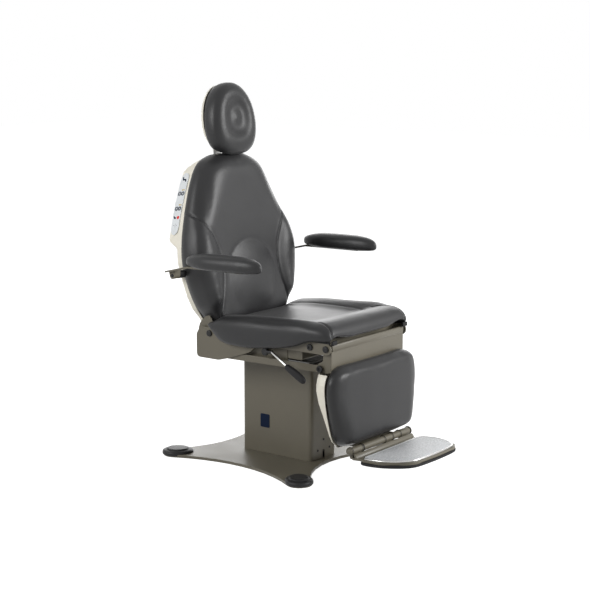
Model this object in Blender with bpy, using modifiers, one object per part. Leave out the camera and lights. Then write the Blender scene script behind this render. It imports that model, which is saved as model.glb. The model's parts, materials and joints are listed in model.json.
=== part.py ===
"""Powered examination chair: lifting column, swivelling seat, and a back and leg rest joined by a link.

Metres, +Z up. The origin is on the floor under the swivel axis, the sitter faces -Y and
the sitter's right is -X. The back stands at its rest angle and the lift is at its lowest.
"""

import math

import bmesh
import bpy
import numpy as np
from mathutils import Vector

# Fits
GAP = 0.0003  # left between two pieces that touch
RUN = 0.0005  # round a pin, a rod or a sliding bar
LAYER = 0.001  # between two plates that swing past each other

# Base
BASE_T = 0.010
BASE_Y = 0.026  # middle of the plate behind the swivel axis
FRONT_FOOT_X = 0.280  # middles of the round ends
REAR_FOOT_X = 0.252
FOOT_Y = 0.284
FOOT_R = 0.043
FLANK_HOLLOW = 0.031  # depth of the hollow sides, from the line between two ends
FRONT_HOLLOW = 0.077
REAR_HOLLOW = 0.048
CAP_WALL = 0.004  # of the cap round the end of the plate
CAP_LENGTH = 0.020
CAP_FLOOR = 0.005  # clear of the floor, so that the plate bears
CAP_H = 0.015  # above the plate

# Lifting column
COVER_W = 0.145
COVER_D = 0.302
COVER_TOP = 0.350
COVER_WALL = 0.0025
COVER_R = 0.014
NOTCH_W = 0.012
NOTCH_H = 0.030
GUIDE_X = 0.006  # wall of the sliding guide, across and along the column
GUIDE_Y = 0.011
GUIDE_H = 0.028
MAST_WALL = 0.004
MAST_FOOT = 0.058
MAST_HEAD = 0.006  # how far the mast stands above the cover
CYLINDER_R = 0.026
CYLINDER_TOP = 0.300
CYLINDER_Y = 0.045
LIFT_ROD_R = 0.015
CYLINDER_FLOOR = 0.005
MOTOR_W = 0.084
MOTOR_D = 0.074
MOTOR_H = 0.062

# Swivel
BEARING_R = 0.062
BEARING_H = 0.014
SPIGOT_R = 0.030
TURNTABLE_R = 0.098
TURNTABLE_T = 0.012
SUBFRAME_HALF = 0.100
SUBFRAME_REAR = 0.105
SUBFRAME_TOP = 0.4322
SUBFRAME_NOSE = 0.398  # underside in front of the turntable

# Link and pivots: four pivots at the corners of a parallelogram
BACK_PIVOT_Y = 0.174
BACK_PIVOT_Z = 0.447
LEG_PIVOT_Y = -0.322
LEG_PIVOT_Z = 0.453
CRANK_Y = 0.028
CRANK_Z = -0.070
BACK_REST = math.radians(8)
PIVOT_R = 0.008
PIN_R = 0.007
HEAD_R = 0.011
HEAD_T = 0.006
LINK_H = 0.023
FLANGE_OUT = 0.210  # half width of the leg panel, the innermost layer of the linkage
PLATE_T = 0.005

# Seat
LOBE_R = 0.020  # round front end of the side plates
PAN_T = 0.004
PAN_LIP = 0.036  # height of the pan's turned-down front edge
PAN_FRONT = -0.298
PAN_REAR = 0.136
PAN_Z = 0.4743  # top of the pan at its front edge
PAN_TILT = math.radians(1.9)
BEAM_D = 0.030
REAR_BEAM_Y = 0.077
FRONT_BEAM_Y = -0.180
FRONT_BEAM_D = 0.060
FRONT_BEAM_HALF = 0.200
SEAT_REAR = 0.140
SKIRT_GAP = 0.0025
SEAT_FOAM = 0.0327  # over the front of the pan, in the middle of the seat
SEAT_DISH = PAN_Z + SEAT_FOAM
SEAT_BOLSTER = 0.533
SEAT_FRONT = -0.346

# Rotation lock lever
LEVER_Y = -0.080
LEVER_Z = 0.417
LEVER_R = 0.0055
LEVER_OUT = 0.012  # from the side plate to the middle of the rod
LEVER_EYE = 0.009
GRIP_AT = Vector((-0.018, -0.104, -0.034))
GRIP_TIP = Vector((-0.040, -0.197, -0.066))
GRIP_R = 0.0115

# Recline drive
DRIVE_X = 0.1415
DRIVE_ARM = 0.070
DRIVE_SWING = math.radians(80)
DRIVE_PIN_R = 0.006
DRIVE_PLAY = 0.002
TUBE_R = 0.018
TUBE_REAR = 0.100
GEARBOX_L = 0.038
GEARBOX_H = 0.058
DRIVE_ROD_R = 0.009

# Back, in its own upright frame with the pivot at the origin, y to the rear
BACK_REAR = 0.050  # plane of the rear seam
BACK_FRONT = -0.034
BACK_TOP = 0.610
BOLSTER_OUT = 0.022
LUMBAR_OUT = 0.013
PANEL_T = 0.004
SHELL_T = 0.003
SHELL_DEPTH = 0.028
POD_DEPTH = 0.067
POD_FOOT = 0.314
POD_HEAD = 0.560
CRANK_LOBE_R = 0.060
CROSS_H = 0.024
CROSS_D = 0.024
CROSS_Y = 0.014
CROSS_U = -0.014

# Control strip on the right wall of the pod
STRIP_W = 0.040
STRIP_FOOT = 0.352
STRIP_HEAD = 0.553
STRIP_T = 0.002
STRIP_Y = 0.090
BUTTON_R = 0.0058
BUTTON_PROUD = 0.0005
BUTTON_LIFT = 0.0009
BUTTON_ROWS = (0.434, 0.484)
BUTTON_PITCH = 0.0145

# Arm rests
ARM_PIVOT_Y = 0.041
ARM_PIVOT_U = 0.215
ARM_X = 0.328
ARM_BAR_W = 0.036
ARM_BAR_T = 0.006
ARM_PIN_R = 0.006
BRACKET_IN = 0.272
BRACKET_T = 0.030
ARM_SHAFT_R = 0.007
PAD_REAR = 0.183
PAD_TIP = -0.140
PAD_HALF = 0.040
PAD_BOTTOM = 0.688
PAD_T = 0.055  # from the lower edge to the crown
PAD_POCKET = 0.006  # depth of the bar in the underside of the pad
ARM_HUB_W = 0.028
PAD_RISE = math.radians(0.8)

# Headrest
HEAD_W = 0.230
HEAD_H = 0.246
HEAD_EGG = 0.24  # how much the width falls from foot to crown
HEAD_FOOT = 0.609
HEAD_REAR = 0.016
HEAD_RIM = -0.057
HEAD_DIMPLE = -0.039
HEAD_SHELL_D = 0.016
BAR_W = 0.040
BAR_T = 0.006
BAR_FOOT = 0.440
GUIDE_HEAD = 0.585
GUIDE_LENGTH = 0.090
GUIDE_FOOT = GUIDE_HEAD - GUIDE_LENGTH
GUIDE_WALL = 0.004
TILT_U = 0.722
KNUCKLE_R = 0.009
TILT_PIN_R = 0.004

# Leg rest
LEG_PANEL_Y = -0.332  # rear face of the panel
LEG_PANEL_T = 0.004
LEG_PANEL_TOP = 0.466
LEG_PANEL_HEM = 0.012
LEG_PAD_T = 0.046  # at the top
LEG_PAD_SWELL = 0.019  # added towards the foot
LEG_PAD_TOP = 0.395
LEG_PAD_FOOT = 0.1165
LEG_SHELL_D = 0.044
EAR_R = 0.014

# Foot plate
HINGE_Y = -0.386
HINGE_Z = 0.110
HINGE_R = 0.0125
HINGE_ROD_R = 0.005
HINGE_HALF = 0.176
HINGE_RIM = 0.0015
KNUCKLES = (-0.114, 0.018, 0.065, 0.112)  # where the barrels meet
LEAF_T = 0.004
PAN_EDGE = -0.428
PAN_TIP = -0.611
PAN_OVER = 0.010  # of the plate past the ends of the hinge
PAN_HALF = HINGE_HALF + PAN_OVER
PAN_FLAT = 0.092
TOE_UP = math.radians(3)
FOOT_PAN_T = 0.009
FOOT_PAN_TOP = 0.091
TREAD_T = 0.004
BUMPER_T = 0.010
BUMPER_LIP = 0.003

# Layers of the linkage, from the inside out
FLANGE_IN = FLANGE_OUT - PLATE_T
LINK_IN = FLANGE_OUT + LAYER
LINK_OUT = LINK_IN + PLATE_T
SIDE_IN = LINK_OUT + LAYER
SIDE_OUT = SIDE_IN + PLATE_T
SKIRT_IN = SIDE_OUT + SKIRT_GAP

RIGHT, LEFT = -1, 1


def clear_scene():
    for old in list(bpy.data.objects):
        bpy.data.objects.remove(old, do_unlink=True)


def new_collection(name):
    made = bpy.data.collections.new(name)
    bpy.context.scene.collection.children.link(made)
    return made


def finish(name, rgb, roughness, metallic=0.0):
    """A Principled material from a display colour."""
    made = bpy.data.materials.new(name)
    made.use_nodes = True
    shader = made.node_tree.nodes["Principled BSDF"]
    linear = [(c / 255) ** 2.2 for c in rgb]
    shader.inputs["Base Color"].default_value = (*linear, 1)
    shader.inputs["Roughness"].default_value = roughness
    shader.inputs["Metallic"].default_value = metallic
    return made


clear_scene()
PARTS = new_collection("examination_chair")
CUTTERS = new_collection("cutters")

PAINT = ("paint", (112, 107, 93), 0.45, 0.3)
BLACK = ("black", (28, 28, 30), 0.55, 0.0)
STEEL = ("steel", (176, 178, 180), 0.3, 1.0)
HIDE = ("upholstery", (72, 72, 73), 0.5, 0.0)
CREAM = ("shell", (232, 226, 206), 0.4, 0.0)
TREAD = ("tread", (196, 199, 202), 0.35, 1.0)
STRIP = ("membrane", (214, 219, 222), 0.45, 0.0)
NAVY = ("button", (30, 46, 78), 0.4, 0.0)
DARK = ("drive", (52, 54, 56), 0.5, 0.2)


def add(name, data, look, parent=None, keep=True):
    """Links one part with its own material; keep leaves it where it was modelled."""
    part = bpy.data.objects.new(name, data)
    PARTS.objects.link(part)
    part.data.materials.clear()
    part.data.materials.append(finish(f"{name}_{look[0]}", *look[1:]))
    if parent is not None:
        part.parent = parent
        if keep:
            part.matrix_parent_inverse = parent.matrix_world.inverted()
    return part


def axis(name, at, parent=None, tilt=0.0):
    """An empty on a joint's axis, placed in world coordinates."""
    made = bpy.data.objects.new(name, None)
    PARTS.objects.link(made)
    if parent is not None:
        made.parent = parent
        made.matrix_parent_inverse = parent.matrix_world.inverted()
    made.location = at
    made.rotation_euler.x = tilt
    bpy.context.view_layer.update()
    return made


def smooth(part, angle=40):
    part.data.shade_smooth()
    part.data.set_sharp_from_angle(angle=math.radians(angle))
    return part


def arc(middle, radius, start, end, count):
    """Points on an arc, with angles in radians."""
    turns = np.linspace(start, end, count)
    return [(middle[0] + radius * math.cos(t), middle[1] + radius * math.sin(t)) for t in turns]


def ring(middle, radius, count=20):
    return arc(middle, radius, 0, 2 * math.pi * (1 - 1 / count), count)


def filleted(corners, count=5):
    """An outline from (a, b, radius) corners, each rounded by its radius."""
    outline = []
    for i, (a, b, radius) in enumerate(corners):
        here = Vector((a, b))
        before = (Vector(corners[i - 1][:2]) - here).normalized()
        after = (Vector(corners[(i + 1) % len(corners)][:2]) - here).normalized()
        half = before.angle(after) / 2
        if radius == 0 or half > math.radians(88):
            outline.append((a, b))
            continue
        reach = radius / math.sin(half)
        middle = here + (before + after).normalized() * reach
        first = here + before * radius / math.tan(half) - middle
        last = here + after * radius / math.tan(half) - middle
        sweep = first.angle_signed(last)
        start = math.atan2(first.y, first.x)
        outline += arc(middle, radius, start, start - sweep, count)
    return outline


def rounded_box(half_a, half_b, radius, count=5, at=(0, 0)):
    corners = ((half_a, half_b), (-half_a, half_b), (-half_a, -half_b), (half_a, -half_b))
    return filleted([(at[0] + a, at[1] + b, radius) for a, b in corners], count)


PLANE_TURN = {
    "XY": (0, 0, 0),
    "YZ": (math.pi / 2, 0, math.pi / 2),
    "XZ": (math.pi / 2, 0, 0),
}


def flat_mesh(name, outlines, plane, low, high):
    """A mesh of one outline with holes, drawn in a plane and reaching from low to high across it."""
    curve = bpy.data.curves.new(name, "CURVE")
    curve.dimensions = "2D"
    curve.fill_mode = "BOTH"
    curve.extrude = (high - low) / 2
    for outline in outlines:
        spline = curve.splines.new("POLY")
        spline.points.add(len(outline) - 1)
        for point, (a, b) in zip(spline.points, outline):
            point.co = (a, b, 0, 1)
        spline.use_cyclic_u = True
    guide = bpy.data.objects.new(name, curve)
    bpy.context.scene.collection.objects.link(guide)
    guide.rotation_euler = PLANE_TURN[plane]
    across = -(low + high) / 2 if plane == "XZ" else (low + high) / 2
    guide.rotation_euler = PLANE_TURN[plane]
    bpy.context.view_layer.update()
    shaped = guide.evaluated_get(bpy.context.evaluated_depsgraph_get())
    mesh = bpy.data.meshes.new_from_object(shaped)
    bm = bmesh.new()
    bm.from_mesh(mesh)
    bmesh.ops.translate(bm, verts=bm.verts, vec=(0, 0, across))
    bmesh.ops.transform(bm, matrix=guide.matrix_world, verts=bm.verts)
    bmesh.ops.remove_doubles(bm, verts=bm.verts, dist=1e-6)
    bmesh.ops.recalc_face_normals(bm, faces=bm.faces)
    bm.to_mesh(mesh)
    bm.free()
    bpy.data.objects.remove(guide, do_unlink=True)
    return mesh


def flat(name, outlines, plane, low, high, look, parent=None, keep=True, edge=0.0):
    part = add(name, flat_mesh(name, outlines, plane, low, high), look, parent, keep)
    if edge:
        soften(part, edge)
    return smooth(part)


def soften(part, width, segments=1):
    bevel = part.modifiers.new("edges", "BEVEL")
    bevel.width = width
    bevel.segments = segments
    bevel.limit_method = "ANGLE"
    bevel.angle_limit = math.radians(40)
    return part


def loft_mesh(name, loops):
    """A closed body through loops of equally many points, capped at both ends."""
    bm = bmesh.new()
    rows = [[bm.verts.new(p) for p in loop] for loop in loops]
    count = len(rows[0])
    for low, high in zip(rows, rows[1:]):
        for i in range(count):
            j = (i + 1) % count
            bm.faces.new((low[i], low[j], high[j], high[i]))
    bm.faces.new(rows[0][::-1])
    bm.faces.new(rows[-1])
    bmesh.ops.recalc_face_normals(bm, faces=bm.faces)
    mesh = bpy.data.meshes.new(name)
    bm.to_mesh(mesh)
    bm.free()
    return mesh


def loft(name, loops, look, parent=None, keep=True, angle=50):
    return smooth(add(name, loft_mesh(name, loops), look, parent, keep), angle)


def turned(name, profile, look, parent=None, keep=True, across=False, at=(0, 0, 0), steps=24):
    """A turned solid from (radius, height) pairs that run from the top down, about Z or about X."""
    bm = bmesh.new()
    points = [bm.verts.new((r, 0, h)) for r, h in profile]
    for a, b in zip(points, points[1:]):
        bm.edges.new((a, b))
    if profile[0][0] > 0 and profile[-1][0] > 0:
        bm.edges.new((points[-1], points[0]))
    mesh = bpy.data.meshes.new(name)
    bm.to_mesh(mesh)
    bm.free()
    part = add(name, mesh, look, parent, keep)
    part.location = at
    if across:
        part.rotation_euler.y = math.pi / 2
    screw = part.modifiers.new("turn", "SCREW")
    screw.steps = steps
    screw.render_steps = steps
    screw.use_merge_vertices = True
    screw.merge_threshold = 0.00005
    return part


def tube(name, points, look, radius, parent=None, keep=True, radii=None, resolution=3):
    """A round bar along points, with an optional radius factor at each."""
    curve = bpy.data.curves.new(name, "CURVE")
    curve.dimensions = "3D"
    curve.bevel_depth = radius
    curve.bevel_resolution = resolution
    curve.use_fill_caps = True
    spline = curve.splines.new("POLY")
    spline.points.add(len(points) - 1)
    for i, (point, place) in enumerate(zip(spline.points, points)):
        point.co = (*place, 1)
        point.radius = radii[i] if radii else 1
    return add(name, curve, look, parent, keep)


def tool(name, mesh, like=None):
    """A cutter or a joined shape, kept out of the model; like gives it a part's placing."""
    made = bpy.data.objects.new(name, mesh)
    CUTTERS.objects.link(made)
    made.hide_render = True
    made.display_type = "WIRE"
    if like is not None:
        made.parent = like.parent
        made.matrix_parent_inverse = like.matrix_parent_inverse
    return made


def combine(part, other, operation):
    step = part.modifiers.new(operation.lower(), "BOOLEAN")
    step.operation = operation
    step.object = other
    step.solver = "EXACT"


def cut(part, name, mesh):
    combine(part, tool(name, mesh, part), "DIFFERENCE")


def join(part, name, mesh):
    combine(part, tool(name, mesh, part), "UNION")


def box_mesh(name, low, high):
    bm = bmesh.new()
    bmesh.ops.create_cube(bm, size=1)
    for v in bm.verts:
        v.co = [l + (c + 0.5) * (h - l) for c, l, h in zip(v.co, low, high)]
    mesh = bpy.data.meshes.new(name)
    bm.to_mesh(mesh)
    bm.free()
    return mesh


def rod_mesh(name, a, b, middle, radius, count=20):
    """A cylinder along X from a to b about (y, z)."""
    return flat_mesh(name, [ring(middle, radius, count)], "YZ", a, b)


def through(table, at):
    """A smooth curve through (place, value) pairs, read at one place."""
    xs = np.array([row[0] for row in table])
    ys = np.array([row[1] for row in table])
    slopes = np.gradient(ys, xs)
    at = min(max(at, xs[0]), xs[-1])
    i = int(min(np.searchsorted(xs, at, side="right"), len(xs) - 1)) - 1
    span = xs[i + 1] - xs[i]
    t = (at - xs[i]) / span
    start = ys[i] * (1 + 2 * t) * (1 - t) ** 2 + slopes[i] * span * t * (1 - t) ** 2
    end = ys[i + 1] * t * t * (3 - 2 * t) + slopes[i + 1] * span * t * t * (t - 1)
    return float(start + end)


def ease(value, low, high):
    t = min(max((value - low) / (high - low), 0), 1)
    return t * t * (3 - 2 * t)


def mirrored(half):
    """A closed loop from the points of its +X half, from the first on the mid line to the last."""
    other = [(-x, *rest) for x, *rest in half[::-1] if abs(x) > 1e-9]
    return half + other


def side_name(stem, side):
    return f"{stem}_{'right' if side == RIGHT else 'left'}"


def span(side, low, high):
    """X limits of a piece on one side, lowest first."""
    return (low, high) if side == LEFT else (-high, -low)


# Joint axes
BACK_PIVOT = Vector((0, BACK_PIVOT_Y, BACK_PIVOT_Z))
LEG_PIVOT = Vector((0, LEG_PIVOT_Y, LEG_PIVOT_Z))
CRANK = Vector((0, CRANK_Y, CRANK_Z))
BACK_UP = Vector((0, math.sin(BACK_REST), math.cos(BACK_REST)))
BACK_AFT = Vector((0, math.cos(BACK_REST), -math.sin(BACK_REST)))


def on_back(x, y, u):
    """World place of a point given in the back's own frame."""
    return BACK_PIVOT + Vector((x, 0, 0)) + BACK_AFT * y + BACK_UP * u


LIFT_AXIS = axis("lift_axis", (0, 0, 0))
SWIVEL_AXIS = axis("swivel_axis", (0, 0, 0), LIFT_AXIS)
BACK_AXIS = axis("back_axis", BACK_PIVOT, SWIVEL_AXIS, -BACK_REST)
LEG_AXIS = axis("leg_axis", LEG_PIVOT, SWIVEL_AXIS)
FOOT_AXIS = axis("foot_axis", (0, HINGE_Y, HINGE_Z), LEG_AXIS)


def foot_end(side, end):
    """Middle of one round end of the plate, from the middle of the plate."""
    return Vector((side * (FRONT_FOOT_X if end < 0 else REAR_FOOT_X), end * FOOT_Y))


def base_outline(grow=0.0):
    """Four round ends joined by hollow arcs, each arc touching both ends."""
    ends = [foot_end(side, end) for side, end in ((1, -1), (1, 1), (-1, 1), (-1, -1))]
    centres = []
    for k, depth in enumerate((FLANK_HOLLOW, REAR_HOLLOW, FLANK_HOLLOW, FRONT_HOLLOW)):
        start = ends[k]
        way = ends[(k + 1) % 4] - start
        reach = way.length / 2
        out = Vector((way.y, -way.x)).normalized()
        radius = (reach**2 + depth**2 - FOOT_R**2) / (2 * (FOOT_R + depth))
        centres.append(start + way / 2 + out * (radius - depth))
    round_end = FOOT_R + grow
    outline = []
    for k, end in enumerate(ends):
        away = centres[k]
        came = centres[k - 1] - end
        goes = away - end
        start = math.atan2(came.y, came.x)
        turn = (math.atan2(goes.y, goes.x) - start) % (2 * math.pi)
        outline += arc(end, round_end, start, start + turn, 9)
        following = ends[(k + 1) % 4]
        radius = goes.length - round_end
        first = math.atan2(-goes.y, -goes.x)
        last = following - away
        sweep = (math.atan2(last.y, last.x) - first + math.pi) % (2 * math.pi) - math.pi
        outline += arc(away, radius, first, first + sweep, 11)[1:-1]
    return [(x, y + BASE_Y) for x, y in outline]


def build_base():
    flat("base_plate", [base_outline()], "XY", 0, BASE_T, PAINT, edge=0.0012)
    for side in (RIGHT, LEFT):
        for end, place in ((-1, "front"), (1, "rear")):
            build_foot_cap(side_name(f"foot_cap_{place}", side), side, end)


def build_foot_cap(name, side, end):
    """A moulded cap over a round end of the plate, with a pocket that fits the plate."""
    tip = foot_end(side, end)
    inward = -tip.normalized()
    heading = math.atan2(-inward.y, -inward.x)
    radius = FOOT_R + CAP_WALL
    narrow = radius * 0.9
    outline = arc((0, 0), radius, heading - math.pi / 2, heading + math.pi / 2, 11)
    back = inward * CAP_LENGTH
    outline += arc(back, narrow, heading + math.pi / 2, heading + 1.5 * math.pi, 9)
    middle = inward * CAP_LENGTH / 2
    loops = []
    rise = BASE_T + CAP_H - CAP_FLOOR
    for scale, height in ((0.98, 0), (1, 0.10), (1, 0.55), (0.95, 0.80), (0.86, 0.95), (0.72, 1)):
        loops.append([
            (
                tip.x + middle.x + (x - middle.x) * scale,
                tip.y + middle.y + (y - middle.y) * scale + BASE_Y,
                CAP_FLOOR + rise * height,
            )
            for x, y in outline
        ])
    cap = loft(name, loops, BLACK)
    cut(cap, f"{name}_pocket", flat_mesh("pocket", [base_outline(GAP)], "XY", -BASE_T, BASE_T + GAP))


def build_column():
    foot = BASE_T + GAP
    walls = [
        rounded_box(COVER_W / 2, COVER_D / 2, COVER_R),
        rounded_box(COVER_W / 2 - COVER_WALL, COVER_D / 2 - COVER_WALL, COVER_R - COVER_WALL),
    ]
    cover = flat("column_cover", walls, "XY", foot, COVER_TOP, PAINT)
    arch = filleted([
        (-NOTCH_W / 2, 0, 0),
        (NOTCH_W / 2, 0, 0),
        (NOTCH_W / 2, foot + NOTCH_H, NOTCH_W * 0.45),
        (-NOTCH_W / 2, foot + NOTCH_H, NOTCH_W * 0.45),
    ])
    reach = COVER_D / 2
    cut(cover, "cable_notch", flat_mesh("cable_notch", [arch], "XZ", -2 * reach, -0.8 * reach))

    inner_x = COVER_W / 2 - COVER_WALL - GAP
    inner_y = COVER_D / 2 - COVER_WALL - GAP
    mast_x = inner_x - GUIDE_X
    mast_y = inner_y - GUIDE_Y
    guide = [
        rounded_box(inner_x, inner_y, COVER_R - COVER_WALL),
        rounded_box(mast_x + RUN, mast_y + RUN, COVER_R - COVER_WALL - GUIDE_X / 2),
    ]
    flat("lift_guide", guide, "XY", COVER_TOP - GUIDE_H, COVER_TOP - LAYER, BLACK)

    head = COVER_TOP + MAST_HEAD
    corner = COVER_R - COVER_WALL - GUIDE_X / 2
    mast = flat(
        "lift_mast", [rounded_box(mast_x, mast_y, corner)], "XY", MAST_FOOT, head, STEEL, LIFT_AXIS
    )
    hollow = rounded_box(mast_x - MAST_WALL, mast_y - MAST_WALL, corner - MAST_WALL / 2)
    cut(mast, "mast_hollow", flat_mesh("mast_hollow", [hollow], "XY", 0, head - MAST_WALL))

    floor = foot + CYLINDER_FLOOR
    cylinder = [
        (CYLINDER_R - 0.002, CYLINDER_TOP),
        (CYLINDER_R, CYLINDER_TOP - 0.002),
        (CYLINDER_R, foot),
        (0, foot),
        (0, floor),
        (LIFT_ROD_R + RUN, floor),
        (LIFT_ROD_R + RUN, CYLINDER_TOP),
    ]
    actuator = turned("lift_actuator", cylinder, DARK, at=(0, CYLINDER_Y, 0))
    rod_top = head - MAST_WALL - GAP
    rod = [(0, rod_top), (LIFT_ROD_R, rod_top), (LIFT_ROD_R, floor + GAP), (0, floor + GAP)]
    turned("lift_rod", rod, STEEL, LIFT_AXIS, at=(0, CYLINDER_Y, 0))
    rear = -CYLINDER_R + 0.004
    outline = rounded_box(MOTOR_W / 2, MOTOR_D / 2, 0.008, at=(0, rear - MOTOR_D / 2))
    motor = tool("lift_motor", flat_mesh("lift_motor", [outline], "XY", foot, foot + MOTOR_H))
    motor.location.y = CYLINDER_Y
    combine(actuator, motor, "UNION")
    return head


def build_swivel(head):
    bearing_top = head + GAP + BEARING_H
    bearing = [
        (SPIGOT_R + RUN, bearing_top),
        (BEARING_R - 0.002, bearing_top),
        (BEARING_R, bearing_top - 0.002),
        (BEARING_R, head + GAP),
        (SPIGOT_R + RUN, head + GAP),
    ]
    turned("swivel_bearing", bearing, STEEL, LIFT_AXIS, steps=28)
    seat = bearing_top + GAP
    disc = seat + TURNTABLE_T
    table = [
        (0, disc),
        (TURNTABLE_R - 0.002, disc),
        (TURNTABLE_R, disc - 0.002),
        (TURNTABLE_R, seat),
        (SPIGOT_R, seat),
        (SPIGOT_R, head + LAYER),
        (0, head + LAYER),
    ]
    turned("turntable", table, PAINT, SWIVEL_AXIS, steps=32)
    foot = disc + GAP
    front = FRONT_BEAM_Y + FRONT_BEAM_D / 2 + GAP
    outline = filleted([
        (front, SUBFRAME_NOSE, 0),
        (-TURNTABLE_R - 0.030, SUBFRAME_NOSE, 0),
        (-TURNTABLE_R - 0.006, foot, 0),
        (SUBFRAME_REAR, foot, 0.004),
        (SUBFRAME_REAR, SUBFRAME_TOP, 0.004),
        (front, SUBFRAME_TOP, 0),
    ], 3)
    frame = flat("seat_subframe", [outline], "YZ", -SUBFRAME_HALF, SUBFRAME_HALF, PAINT, SWIVEL_AXIS)
    top = pan_top(REAR_BEAM_Y + BEAM_D / 2) - PAN_T - GAP
    low = SUBFRAME_TOP - 0.001
    tall = (top - low) / 2
    beam = rounded_box(BEAM_D / 2, tall, 0.002, 3, (REAR_BEAM_Y, low + tall))
    reach = SIDE_IN - GAP
    join(frame, "rear_beam", flat_mesh("rear_beam", [beam], "YZ", -reach, reach))


def pan_top(y):
    return PAN_Z - (y - PAN_FRONT) * math.tan(PAN_TILT)


def side_plate_outline():
    """Rear bracket, thin rail under the cushion with the lever's eye, and the front arm."""
    under = PAN_T + GAP
    front = LEG_PIVOT_Y - LOBE_R
    rail = LEG_PIVOT_Z - LOBE_R
    aft = BACK_PIVOT_Y + 0.059
    foot = BACK_PIVOT_Z - 0.089
    eye = LEVER_EYE + 0.004
    return filleted([
        (front, rail, LOBE_R * 0.97),
        (LEVER_Y - eye, rail, 0.004),
        (LEVER_Y - eye, LEVER_Z - LEVER_EYE, LEVER_EYE * 0.9),
        (LEVER_Y + eye, LEVER_Z - LEVER_EYE, LEVER_EYE * 0.9),
        (LEVER_Y + eye, rail, 0.004),
        (BACK_PIVOT_Y - 0.216, rail, 0.012),
        (BACK_PIVOT_Y - 0.174, foot + 0.043, 0.05),
        (BACK_PIVOT_Y - 0.080, foot + 0.011, 0.08),
        (BACK_PIVOT_Y - 0.040, foot, 0.06),
        (aft, foot, 0.014),
        (aft, BACK_PIVOT_Z - 0.007, 0.012),
        (BACK_PIVOT_Y + 0.042, BACK_PIVOT_Z + LOBE_R, 0.008),
        (PAN_REAR + 0.022, BACK_PIVOT_Z + LOBE_R, 0.004),
        (PAN_REAR + 0.010, pan_top(PAN_REAR + 0.010) - under, 0),
        (PAN_FRONT - LAYER, pan_top(PAN_FRONT - LAYER) - under, 0),
        (PAN_FRONT - 0.004, LEG_PIVOT_Z + LOBE_R, 0.003),
        (front, LEG_PIVOT_Z + LOBE_R, LOBE_R * 0.97),
    ], 4)


def pivot_bolt(name, side, at, parent):
    """A shouldered bolt: head outside the side plate, collar across the link's layer, shank inside."""
    inside = FLANGE_IN
    profile = [
        (0, SIDE_OUT + GAP + HEAD_T),
        (HEAD_R * 0.7, SIDE_OUT + GAP + HEAD_T),
        (HEAD_R, SIDE_OUT + GAP + HEAD_T * 0.7),
        (HEAD_R, SIDE_OUT + GAP),
        (PIVOT_R, SIDE_OUT + GAP),
        (PIVOT_R, SIDE_IN - GAP),
        (HEAD_R, SIDE_IN - GAP),
        (HEAD_R, FLANGE_OUT + GAP),
        (PIVOT_R, FLANGE_OUT + GAP),
        (PIVOT_R, inside),
        (0, inside),
    ]
    place_across(name, side, profile, at, parent, BLACK)


def place_across(name, side, profile, at, parent, look, keep=True, steps=16):
    """A turned piece about an X axis, given by (radius, distance from the middle of the chair)."""
    if side == RIGHT:
        profile = [(r, -h) for r, h in profile[::-1]]
    return turned(name, profile, look, parent, keep, across=True, at=at, steps=steps)


def build_seat():
    pivots = [(BACK_PIVOT_Y, BACK_PIVOT_Z), (LEG_PIVOT_Y, LEG_PIVOT_Z)]
    holes = [ring(p, PIVOT_R + RUN, 16) for p in pivots]
    for side in (RIGHT, LEFT):
        low, high = span(side, SIDE_IN, SIDE_OUT)
        plate = [side_plate_outline(), *holes]
        flat(side_name("side_plate", side), plate, "YZ", low, high, PAINT, SWIVEL_AXIS, edge=0.0006)
        pivot_bolt(side_name("back_pivot_bolt", side), side, BACK_PIVOT, SWIVEL_AXIS)
        pivot_bolt(side_name("leg_pivot_bolt", side), side, LEG_PIVOT, SWIVEL_AXIS)

    pan = [
        (PAN_FRONT, pan_top(PAN_FRONT)),
        (PAN_FRONT, pan_top(PAN_FRONT) - PAN_T),
        (PAN_REAR, pan_top(PAN_REAR) - PAN_T),
        (PAN_REAR, pan_top(PAN_REAR)),
    ]
    sheet = flat("seat_pan", [pan], "YZ", -SIDE_OUT, SIDE_OUT, PAINT, SWIVEL_AXIS)
    wide = FLANGE_IN - LAYER
    lip_low = (-wide, PAN_FRONT, pan_top(PAN_FRONT) - PAN_LIP)
    lip_high = (wide, PAN_FRONT + PAN_T, pan_top(PAN_FRONT) - PAN_T / 2)
    join(sheet, "pan_lip", box_mesh("pan_lip", lip_low, lip_high))
    under = PAN_T + GAP
    front = FRONT_BEAM_Y - FRONT_BEAM_D / 2
    rear = FRONT_BEAM_Y + FRONT_BEAM_D / 2
    beam = filleted([
        (front, SUBFRAME_NOSE, 0.005),
        (rear, SUBFRAME_NOSE, 0.002),
        (rear, pan_top(rear) - under, 0),
        (front, pan_top(front) - under, 0),
    ], 3)
    reach = FRONT_BEAM_HALF
    flat("seat_beam_front", [beam], "YZ", -reach, reach, PAINT, SWIVEL_AXIS, edge=0.002)
    build_seat_cushion()


# Seat cushion: half width and lower edge of the side skirt along the seat, from the front
SEAT_HALF = ((SEAT_FRONT, 0.233), (-0.325, 0.243), (-0.28, 0.251), (-0.1, 0.258), (0.08, 0.258), (0.171, 0.248))
SEAT_HEM = ((SEAT_FRONT, 0.4765), (-0.330, 0.472), (-0.256, 0.4675), (-0.222, 0.453), (-0.150, 0.436),
            (-0.087, 0.427), (0.042, 0.420), (0.115, 0.430), (0.171, 0.474))
SEAT_CREST = ((SEAT_FRONT, 0.498), (-0.335, 0.518), (-0.315, 0.5275), (-0.270, SEAT_BOLSTER), (-0.1, 0.5295),
              (0.06, 0.519), (0.130, 0.508), (0.171, 0.491))


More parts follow.
